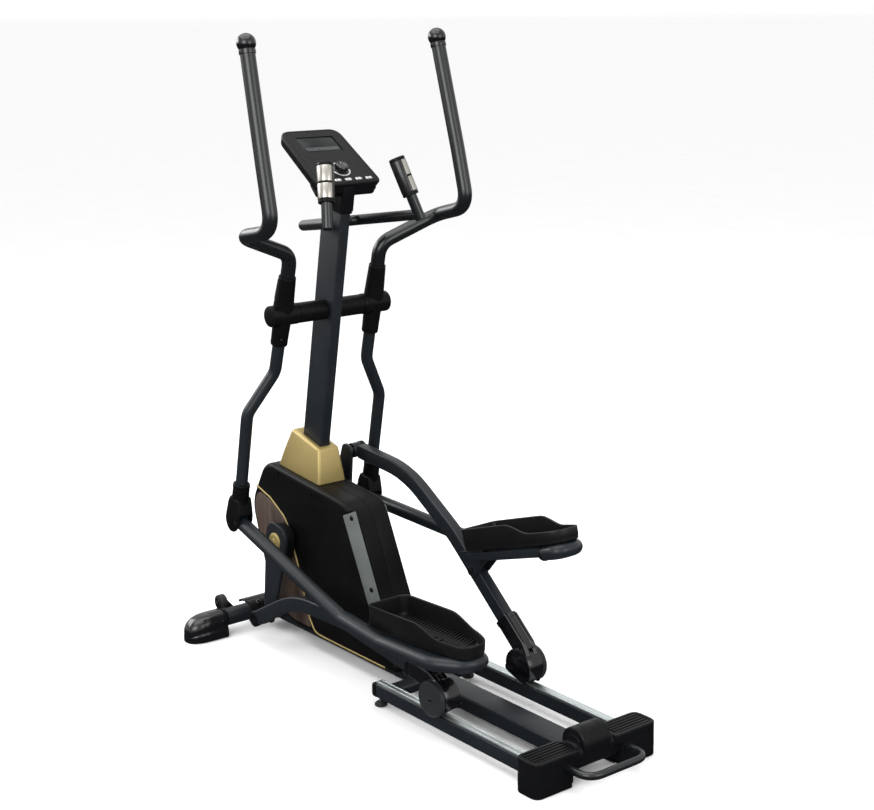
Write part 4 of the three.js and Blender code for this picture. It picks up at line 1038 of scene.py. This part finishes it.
# ---------------------------------------------------------------- crank, roller arm and roller
def crank_matrix(side):
    return pivot_matrix(CRANK.x, CRANK.z, POSE[side][0] - math.pi / 2, SIDES[side])


def make_crank(side):
    bar = plate(outline(there_and_back([
        (-50, -30, 28), (-20, -50, 24), (40, -45, 30), (258, -21, 18),
    ]), 9), 101, 111, "Y", 2.2, 4)
    # Inboard of the bar's thick end a black cover reaches towards the shroud.
    cover = plate(outline(there_and_back([
        (-45, -27, 26), (-18, -45, 22), (60, -38, 30),
    ]), 9), 72, 101.5, "Y", 5, 4)
    washer = lathe([(9, 111), (14, 111), (14, 117.5), (13, 118.5), (9, 118.5)], "Y", 36, True)
    washer = at(washer, CRANK_THROW)
    pin = at(rounded_bar(9, 105, 152, "Y", 1), CRANK_THROW)
    boss = lathe([(12, 63), (18.5, 63), (18.5, 66.5), (28, 68), (30, 70), (30, 80), (12, 80)], "Y", 48, True)
    cap = lathe([
        (0, 110.8), (25, 110.8), (25, 113), (23.6, 115.4), (19, 117), (16.5, 117.2), (15, 116), (11, 115.8),
        (9.6, 116.8), (0, 117.4),
    ], "Y", 56)
    piece(f"crank_bar_{side}", "crank", crank_matrix(side), (bar, PAINT), (washer, IRON), (pin, IRON),
          (boss, PLASTIC), (cover, PLASTIC), (cap, GOLD), replaces=[f"crank_arm_{side}"])


def arm_matrix(side):
    _, axle, rise, *_ = POSE[side]
    return pivot_matrix(axle.x, axle.y, rise, SIDES[side])


TUBE_END = Vector((24, RAIL_Y, 36))
TUBE_SLOPE = math.atan2(61, 360)
ALONG_TUBE = Matrix.Translation(TUBE_END) @ Matrix.Rotation(-TUBE_SLOPE, 4, "Y")


def make_roller_arm(side):
    section = rounded_rect(-20, 20, -15, 15, 5, 6)
    shoulder = Vector((619, RAIL_Y, 100))
    # The bar starts on the barrel's wall, so that the crank pin has the whole bore to itself.
    barrel_middle = Vector((ARM_LENGTH, RAIL_Y, 0))
    start = barrel_middle + (shoulder - barrel_middle).normalized() * ARM_BORE
    bar = sweep(section, route([start, shoulder, (384, RAIL_Y, 97), TUBE_END], 330, 22))
    barrel = at(lathe([
        (ARM_BORE, 119.5), (20, 119.5), (21, 120.5), (21, 128.5), (20.2, 129.2), (20.2, 130.4), (21, 131.1),
        (21, 153), (ARM_BORE, 153),
    ], "Y", 56, True), ARM_LENGTH)
    cap = at(lathe([
        (0, 154), (ARM_BORE, 154), (ARM_BORE, 152.4), (21, 152.4), (22.6, 153.2), (22.6, 157.5),
        (22.2, 159.4), (19.5, 161), (12, 161), (9, 159.8), (0, 159.8),
    ], "Y", 56), ARM_LENGTH)
    ring = at(lathe([(20.6, 146), (22.2, 147), (22.2, 149.8), (20.6, 150.8)], "Y", 56, True), ARM_LENGTH)
    fork = outline([
        (-13, -6, 9), (6, -14, 9), (20, 10, 6), (70, 34, 4), (66, 54, 4), (20, 50, 4), (-12, 12, 9),
    ])
    forks = [plate(fork, y, y + 3, "Y", 0.5) for y in (126.5, 159.5)]
    lug = lathe(there_and_back([(5.5, -1.6), (12, -1.6)]), "Y", 32, True)
    lugs = [at(lug, ARM_LENGTH - HINGE_BACK, y, HINGE_RISE) for y in (128.6, 160.4)]
    piece(f"roller_arm_tube_{side}", f"arm_{side}", arm_matrix(side), (bar, PAINT), (barrel, PAINT),
          (cap, PLASTIC), (ring, PLASTIC), *made_of(PAINT, forks), *made_of(PLASTIC, lugs),
          replaces=[f"roller_arm_{side}"])


def make_roller_cover(side):
    turn = Matrix.Rotation(COVER_TURN, 4, "Y")
    drum = lathe([
        (0, 118), (42, 118), (45.6, 119.4), (47, 123), (47, 163), (46.4, 165.4), (45, 166.4), (0, 166.4),
    ], "Y", 72)
    cavity = rounded_bar(43.6, 122, 165.5, "Y", 1, 56)
    opening = moved(box(-80, 80, 100, 170, -120, -32), turn)
    hood = carved(drum, cavity, opening)
    disc = lathe([
        (0, 167), (45, 167), (46.5, 168.4), (46.5, 177), (45.2, 179.2), (43.4, 180), (41.6, 179.4),
        (40.8, 178.6), (0, 178.6),
    ], "Y", 80)
    neck = at(lathe([(40, 165), (44.2, 165), (44.2, 168), (40, 168)], "Y", 72, True))
    sleeve = moved(plate(rounded_rect(-19, 19, -24, 24, 8, 6), -14, 96, "X", 2.5, 4), ALONG_TUBE)
    lip = moved(plate(rounded_rect(-20.4, 20.4, -25.4, 25.4, 9, 6), 84, 97, "X", 1.6, 3), ALONG_TUBE)
    # Two round ridges run down the sleeve on to the drum, each with a rounded nose.
    ridges = []
    for y in (-13, 13):
        core = tube([(90, y, 20), (4, y, 20), (-26, y, 10)], 8.5, 40, 24, 6)
        ridges += [moved(core, ALONG_TUBE), moved(ball(8.5, -26, y, 10), ALONG_TUBE)]
    head = facing(screw(5.5, 2.5), 0, 178.4, 0, (0, 1, 0))
    skirt_plan = outline([(-40, -34, 8), (40, -34, 8), (46, -20, 10), (-46, -20, 10)])
    skirt = moved(carved(plate(skirt_plan, 119, 167, "Y", 3), box(-50, 50, 123, 164, -50, 0)), turn)
    piece(f"roller_cover_hood_{side}", f"arm_{side}", arm_matrix(side), (hood, GLOSS), (neck, PLASTIC),
          (disc, DISC), (sleeve, GLOSS), (lip, GLOSS), *made_of(GLOSS, ridges), (head, BOLT), (skirt, GLOSS),
          replaces=[f"roller_cover_{side}"])


def make_roller(side):
    _, axle, *_ = POSE[side]
    place = pivot_matrix(axle.x, axle.y, 0, SIDES[side]) @ Matrix.Translation((0, RAIL_Y, 0))
    tread = lathe(there_and_back([(30, -13), (38.6, -13), (40.6, -11.8), (41.2, -9.5)]), "Y", 72, True)
    core = lathe(there_and_back([(11.4, -12), (13, -12.6), (27, -12), (30.4, -12.6)]), "Y", 56, True)
    bearing = lathe(there_and_back([(6.4, -12.4), (11.6, -12.4)]), "Y", 40, True)
    piece(f"roller_tyre_{side}", f"roller_{side}", place, (tread, RUBBER), (core, PLASTIC), (bearing, IRON),
          replaces=[f"roller_wheel_{side}"])


# ---------------------------------------------------------------- pedal link and tray
def link_matrix(side):
    _, _, _, hinge, rise, _ = POSE[side]
    return pivot_matrix(hinge.x, hinge.y, rise, SIDES[side])


ON_PEDAL = Matrix.Rotation(PEDAL_TILT, 4, "Y")


def on_pedal(s, y, n):
    return ON_PEDAL @ Vector((-s, y, n))


def make_link(side):
    stops = route([
        (LINK_LENGTH - 12, LINK_Y, 0), (62, LINK_Y, 34), on_pedal(118, LINK_Y, 36),
        on_pedal(316, LINK_Y - 5, 36), on_pedal(384, 160, 36), on_pedal(384, 100, 36), on_pedal(334, 100, 36),
    ], 60, 12)
    side_bar = sweep(circle(19, 40), stops)
    plug = moved(lathe([
        (0, -3), (19.6, -3), (20.4, -1.5), (20.4, 4), (19.4, 6.2), (16, 7.4), (14.8, 6.4), (0, 6.4),
    ], "X", 44), ON_PEDAL @ Matrix.Translation((-334, 100, 36)))
    eye = at(lathe(there_and_back([(13.2, -19), (18, -19), (19, -18)]), "Y", 48, True), LINK_LENGTH, LINK_Y)
    flat = moved(bevelled(box(-345, -40, 88, 112, 26, 50), 3.5, 3), ON_PEDAL)
    top = moved(bevelled(box(-104, -14, 88, 165.5, 49, 55), 1.6, 2), ON_PEDAL)
    cheek = outline([(16, -16, 12), (16, 16, 12), (-14, 54, 2), (-104, 54, 2), (-104, 40, 6), (-16, -16, 12)])
    cheeks = [moved(plate(cheek, y, y + 4, "Y", 0.7), ON_PEDAL) for y in (123.5, 161.5)]
    bolt = rounded_bar(5, 119, 170, "Y", 0.6, 24)
    nuts = [plate(hexagon(8.5, 0.8), y, y + 5, "Y", 0.7) for y in (118.2, 165.8)]
    gusset = moved(plate(outline([
        (-128, 206, 4), (-310, 204, 12), (-376, 162, 12), (-384, 108, 6), (-334, 90, 6), (-128, 90, 6),
    ], 7), 46, 52, "Z", 0.8), ON_PEDAL)
    stopper = moved(bevelled(box(-150, -86, 96, 158, 28, 44), 6, 3), ON_PEDAL)
    piece(f"pedal_link_tube_{side}", f"link_{side}", link_matrix(side), (side_bar, PAINT), (plug, PLASTIC),
          *made_of(PAINT, (eye, flat, top, gusset, *cheeks)), (bolt, IRON), *made_of(BOLT, nuts),
          (stopper, RUBBER), replaces=[f"pedal_link_{side}"])


TRAY_PLAN = [(-400, 100, 34), (-325, 70, 50), (-45, 72, 26), (-45, 195, 16), (-240, 197, 60), (-400, 176, 40)]
TRAY_BASE = 55.4
TRAY_FLOOR = TRAY_BASE + 5


def rim_height(x):
    high = 113 + 3 * (-30 - x) / 205
    low = 90 - 3 * (-310 - x) / 110
    return high + (low - high) * smooth_step(-x, 228, 322)


def in_tray(x, y, clear, plan):
    """Whether a place on the floor is inside the tray's plan, clear of its wall."""
    inside = False
    for a, b in zip(plan, plan[1:] + plan[:1]):
        if (a.y > y) != (b.y > y) and x < a.x + (y - a.y) * (b.x - a.x) / (b.y - a.y):
            inside = not inside
    return inside and all((Vector((x, y)) - p).length > clear for p in plan)


def tray_ramps():
    """Ramps along both walls of the floor, each high at its wall and low towards the middle."""
    low, foot, high = TRAY_FLOOR + 0.8, TRAY_FLOOR - 1, TRAY_FLOOR + 9
    ramps = []
    for k in range(RAMPS):
        x = -348 + RAMP_PITCH * k
        depth = 33 if x < -70 else 24
        walls = []
        if x >= -330:
            walls.append((76.5, 76.5 + depth))
        if -226 <= x <= -70:
            walls.append((191, 191 - depth))
        for wall, end in walls:
            ramp = loft([
                [(x - 2.6, y, foot), (x + 2.6, y, foot), (x + 1.8, y, top), (x - 1.8, y, top)]
                for y, top in ((wall, high), (end, low))
            ])
            ramps.append(bevelled(ramp, 0.6, 1, 30))
    return ramps


def tray_studs(plan):
    """Round studs in staggered rows, wherever neither the ramps nor the bridge stand."""
    stud = lathe([(2.1, TRAY_FLOOR - 0.5), (1.7, TRAY_FLOOR + 1.2), (0.9, TRAY_FLOOR + 1.8)], "Z", 8)
    studs = []
    for row in range(STUD_ROWS):
        for column in range(STUD_COLUMNS):
            x = -388 + STUD_PITCH * row
            y = 80 + STUD_PITCH * column + (STUD_PITCH / 2 if row % 2 else 0)
            near_bridge = -270 < x < -96 and 114 < y < 158
            near_ramps = y < 112 and x > -345 or y > 155 and -232 < x < -64
            if not near_bridge and not near_ramps and in_tray(x, y, 9.5, plan):
                studs.append(at(stud, x, y))
    return studs


def make_tray(side):
    plan = resampled(outline(TRAY_PLAN, 12), 7)
    rings = []
    for inwards, z in (
        (9, 0), (4, 0.4), (1.8, 2.5), (1.2, 6), (1.0, 9.5), (0.2, 10.5),
    ):
        rings.append([(p.x, p.y, TRAY_BASE + z) for p in inset(plan, inwards)])
    for inwards, below in (
        (-0.2, 9), (-0.6, 5), (-0.7, 1.4), (-0.2, 0.3), (0.8, 0), (2.6, 0.1), (3.4, 0.8), (3.9, 3),
    ):
        rings.append([(p.x, p.y, rim_height(q.x) - below) for p, q in zip(inset(plan, inwards), plan)])
    for inwards, z in ((4.6, 12), (5.4, 4), (7.2, 1.2), (10, 0)):
        rings.append([(p.x, p.y, TRAY_FLOOR + z) for p in inset(plan, inwards)])
    middle = outline([(-262, 122, 9), (-104, 122, 9), (-104, 150, 9), (-262, 150, 9)], 5)
    sink = rounded_bar(7, TRAY_FLOOR + 0.4, TRAY_FLOOR + 8, "Z", 0.2, 24)
    sinks = [at(sink, *place) for place in TRAY_BOLTS]
    bridge = carved(plate(middle, TRAY_FLOOR - 1, TRAY_FLOOR + 3.2, "Z", 1.2, 3), *sinks)
    heads = [at(screw(5.6, 1.8, 2.4), *place, TRAY_FLOOR + 0.3) for place in TRAY_BOLTS]
    piece(f"pedal_tray_shell_{side}", f"link_{side}", link_matrix(side) @ ON_PEDAL, (loft(rings), TRAY),
          *made_of(TRAY, tray_ramps()), (bridge, TRAY), *made_of(BOLT, heads),
          *made_of(TRAY, tray_studs(plan)), replaces=[f"pedal_tray_{side}"], sharp=40)


# ---------------------------------------------------------------- swing arm
def swing_matrix(side):
    return pivot_matrix(SWING.x, SWING.z, POSE[side][5], SIDES[side])


def towards_foot(z):
    """The point at this height on the line from the swing tube's last bend to its foot."""
    return SWING_BEND.lerp(SWING_FOOT, (z - SWING_BEND.z) / (SWING_FOOT.z - SWING_BEND.z))


def make_swing_hub(side):
    barrel = lathe([
        (14.4, 104.8), (26, 104.8), (28, 106.8), (28, 183), (27.2, 184), (27.2, 185), (27.8, 186),
        (26.6, 188), (22, 189.2), (12, 190), (0, 190.2),
    ], "Y", 64)
    upper = at(lathe([
        (0, -4), (28.3, -4), (22.9, 102), (22.9, 106.6), (22.1, 108), (20.6, 108), (20.2, 106), (20.2, 90),
        (0, 90),
    ], "Z", 64), 2, STEM_Y)
    lower = at(lathe([
        (0, 0), (24.6, 0), (22.6, -70), (22.8, -80), (21.8, -84), (17.6, -84), (17.4, -81), (17.4, -70),
        (0, -70),
    ], "Z", 56), 0, STEM_Y)
    ribs = []
    for k in range(9):
        z = 44 + 6.2 * k
        radius = 28.3 - (z + 4) * 5.4 / 106
        band = arc_band(radius - 1, radius + 1.1, math.radians(48), math.radians(112), 12)
        ribs.append(at(plate(band, z, z + 3, "Z", 0.8), 2, STEM_Y))
    heads = [
        facing(screw(3.6, 1.4), -21.6, 156, -62, (-0.92, 0.38, 0)),
        facing(screw(3.6, 1.4), -14, 170, 12, (-0.5, 0.8, 0.1)),
    ]
    piece(f"swing_hub_shell_{side}", f"swing_{side}", swing_matrix(side),
          *made_of(SATIN, (barrel, upper, lower, *ribs)), *made_of(BOLT, heads),
          replaces=[f"swing_hub_{side}"])


def make_handlebar(side):
    stops = route([
        (2, STEM_Y, 41), (2, STEM_Y, 168), (-15, 314, 241), (-141, 312, 303), HANDLE_BEND, HANDLE_TOP,
    ], 52, 16)
    bar = sweep(circle(19, 44), stops)
    end = ball(24, *HANDLE_TOP, rows=24)
    collar = moved(lathe([(18.8, -27), (20.6, -26), (21, -23), (20.8, -16), (16, -14)], "Z", 44),
                   matrix_of(HANDLE_TOP, HANDLE_TOP - HANDLE_BEND, (1, 0, 0)))
    piece(f"handlebar_tube_{side}", f"swing_{side}", swing_matrix(side), (bar, BLACK_PAINT),
          (end, GLOSS), (collar, GLOSS), replaces=[f"handlebar_{side}"])


def make_swing_tube(side):
    stops = route([(0, STEM_Y, -37), (0, STEM_Y, -165), SWING_BEND, towards_foot(-558)], 60, 14)
    bar = sweep(circle(16.5, 40), stops)
    piece(f"swing_tube_bar_{side}", f"swing_{side}", swing_matrix(side), (bar, PAINT),
          replaces=[f"swing_tube_{side}"])


def make_knuckle(side):
    foot_x, foot_z = SWING_FOOT.x, SWING_FOOT.z
    low, high = towards_foot(-566), towards_foot(-492)
    sleeve = moved(lathe([
        (17.2, 74), (21.6, 74), (23.4, 72.6), (23.8, 70), (23.8, 64), (23, 62.6), (22.4, 62), (22.4, 60.6),
        (23, 60), (23.6, 30), (24, 0), (17.2, 0),
    ], "Z", 52, True), matrix_of(low, high - low, (1, 0, 0)))
    profile = outline([
        (foot_x - 32, foot_z - 16, 22), (foot_x + 2, foot_z - 38, 24), (foot_x + 34, foot_z - 12, 26),
        (foot_x + 30, foot_z + 52, 18), (foot_x + 22, foot_z + 72, 6), (foot_x - 14, foot_z + 72, 6),
        (foot_x - 36, foot_z + 22, 18),
    ], 9)
    room = at(rounded_bar(30, LINK_Y - 20.3, LINK_Y + 20.3, "Y", 0.4, 40), foot_x, 0, foot_z)
    rear_room = box(foot_x - 70, foot_x, LINK_Y - 20.3, LINK_Y + 20.3, foot_z - 42, foot_z + 30)
    # A slanted groove is cut into each face, like the seam of two mouldings.
    groove = moved(box(-0.9, 0.9, -60, 60, -140, 140), Matrix.Translation((foot_x + 6, LINK_Y, foot_z + 20))
                   @ Matrix.Rotation(math.radians(24), 4, "Y"))
    inner = box(foot_x - 80, foot_x + 80, LINK_Y - 22.6, LINK_Y + 22.6, foot_z - 80, foot_z + 110)
    block = plate(profile, LINK_Y - 24, LINK_Y + 24, "Y", 5, 5)
    body = carved(block, room, rear_room, carved(groove, inner))
    pad = carved(plate(inset(profile, 7), LINK_Y + 23.2, LINK_Y + 25, "Y", 0.9, 3), groove)
    heads = [facing(screw(4.2, 1.4), foot_x + dx, LINK_Y + side_y * 24.6, foot_z + dz, (0, side_y, 0))
             for dx, dz in ((-22, 4), (20, 40)) for side_y in (1, -1)]
    pin = at(rounded_bar(8, LINK_Y - 22, LINK_Y + 22, "Y", 0.6, 32), foot_x, 0, foot_z)
    piece(f"swing_knuckle_shell_{side}", f"swing_{side}", swing_matrix(side),
          *made_of(SATIN, (sleeve, body, pad)), *made_of(BOLT, heads), (pin, IRON),
          replaces=[f"swing_knuckle_{side}"], sharp=30)


# ---------------------------------------------------------------- inside the shroud, and the stage
def finish_inner_nodes():
    looks = {
        "crank_axle": IRON, "drive_pulley": PLASTIC, "flywheel": IRON, "drive_belt": RUBBER,
        "brake_magnet": IRON,
        "roller_axle_left": IRON, "roller_axle_right": IRON,
    }
    for name, material in looks.items():
        for place in frame["nodes"][name].material_slots:
            place.material = material


FLOOR = 400  # metres from the middle to each edge, so that it meets the horizon


def pale_floor():
    n = Nodes("pale_floor", "stage")
    n.color(n.ramp(n.noise(3, 2), (0.3, (0.94, 0.94, 0.94)), (0.7, (0.96, 0.96, 0.96))))
    n.roughness(n.range(n.noise(8, 2), 0.75, 0.85))
    n.set(Specular_IOR_Level=0.2)
    mesh = bpy.data.meshes.new("floor")
    corners = [(-FLOOR, -FLOOR), (FLOOR, -FLOOR), (FLOOR, FLOOR), (-FLOOR, FLOOR)]
    mesh.from_pydata([(x, y, -0.001) for x, y in corners], [], [(0, 1, 2, 3)])
    mesh.materials.append(n.material)
    floor = bpy.data.objects.new("floor", mesh)
    bpy.context.scene.collection.objects.link(floor)
    floor.visible_glossy = False


def area_light(name, place, target, size, power):
    data = bpy.data.lights.new(name, "AREA")
    data.shape = "RECTANGLE"
    data.size, data.size_y = size
    data.energy = power
    lamp = bpy.data.objects.new(name, data)
    lamp.matrix_world = matrix_of(place, Vector(place) - Vector(target), (0, 0, 1))
    bpy.context.scene.collection.objects.link(lamp)


def make_light():
    middle = (0, 0, 0.8)
    area_light("overhead", (0.4, 0.6, 4.6), middle, (4.5, 4.5), 150)
    area_light("key_left", (-2.2, 4.2, 2.6), middle, (2.6, 3.2), 120)
    area_light("rear_fill", (-4.4, -0.6, 2.2), middle, (2.6, 2.6), 55)
    area_light("front_rim", (3.6, 1.6, 2.4), middle, (1.2, 3.2), 70)
    world = bpy.data.worlds.new("studio")
    world.use_nodes = True
    nodes, links = world.node_tree.nodes, world.node_tree.links
    # White above the horizon and dark below it, so that upright faces stay deep.
    height = nodes.new("ShaderNodeSeparateXYZ")
    shade = nodes.new("ShaderNodeValToRGB")
    shade.color_ramp.elements[0].position = 0.46
    shade.color_ramp.elements[0].color = (0.06, 0.06, 0.065, 1)
    shade.color_ramp.elements[1].position = 0.5
    shade.color_ramp.elements[1].color = (1, 1, 1, 1)
    half = nodes.new("ShaderNodeMapRange")
    half.inputs["From Min"].default_value = -1
    links.new(nodes.new("ShaderNodeTexCoord").outputs["Generated"], height.inputs["Vector"])
    links.new(height.outputs["Z"], half.inputs["Value"])
    links.new(half.outputs["Result"], shade.inputs["Fac"])
    links.new(shade.outputs["Color"], nodes["Background"].inputs["Color"])
    bpy.context.scene.world = world
    bpy.context.scene.view_settings.view_transform = "Standard"


def make_camera():
    yaw, pitch, roll = (math.radians(a) for a in CAMERA_TURNS)
    forward = Vector((math.cos(pitch) * math.cos(yaw), math.cos(pitch) * math.sin(yaw), -math.sin(pitch)))
    right = Vector((math.sin(yaw), -math.cos(yaw), 0))
    up = right.cross(forward)
    x = right * math.cos(roll) + up * math.sin(roll)
    y = up * math.cos(roll) - right * math.sin(roll)
    turn = Matrix((x, y, -forward)).transposed().to_4x4()
    data = bpy.data.cameras.new("camera")
    data.lens = CAMERA_LENS
    data.sensor_width = 36
    data.clip_end = 1000
    camera = bpy.data.objects.new("camera", data)
    camera.matrix_world = Matrix.Translation(CAMERA_PLACE) @ turn
    bpy.context.scene.collection.objects.link(camera)
    bpy.context.scene.camera = camera


make_camera()
for make in (make_beam, make_front_tube, make_rear, make_mast, make_boot, make_crossbar, make_fixed_handlebar,
             make_console):
    make()
for side in SIDES:
    for make in (make_front_cap, make_transport_wheel, make_rail, make_levelling_foot, make_rear_foot,
                 make_shroud, make_shroud_trim, make_pulse_grip, make_crank, make_roller_arm,
                 make_roller_cover, make_roller, make_link, make_tray, make_swing_hub, make_handlebar,
                 make_swing_tube, make_knuckle):
        make(side)
finish_inner_nodes()
pale_floor()
make_light()
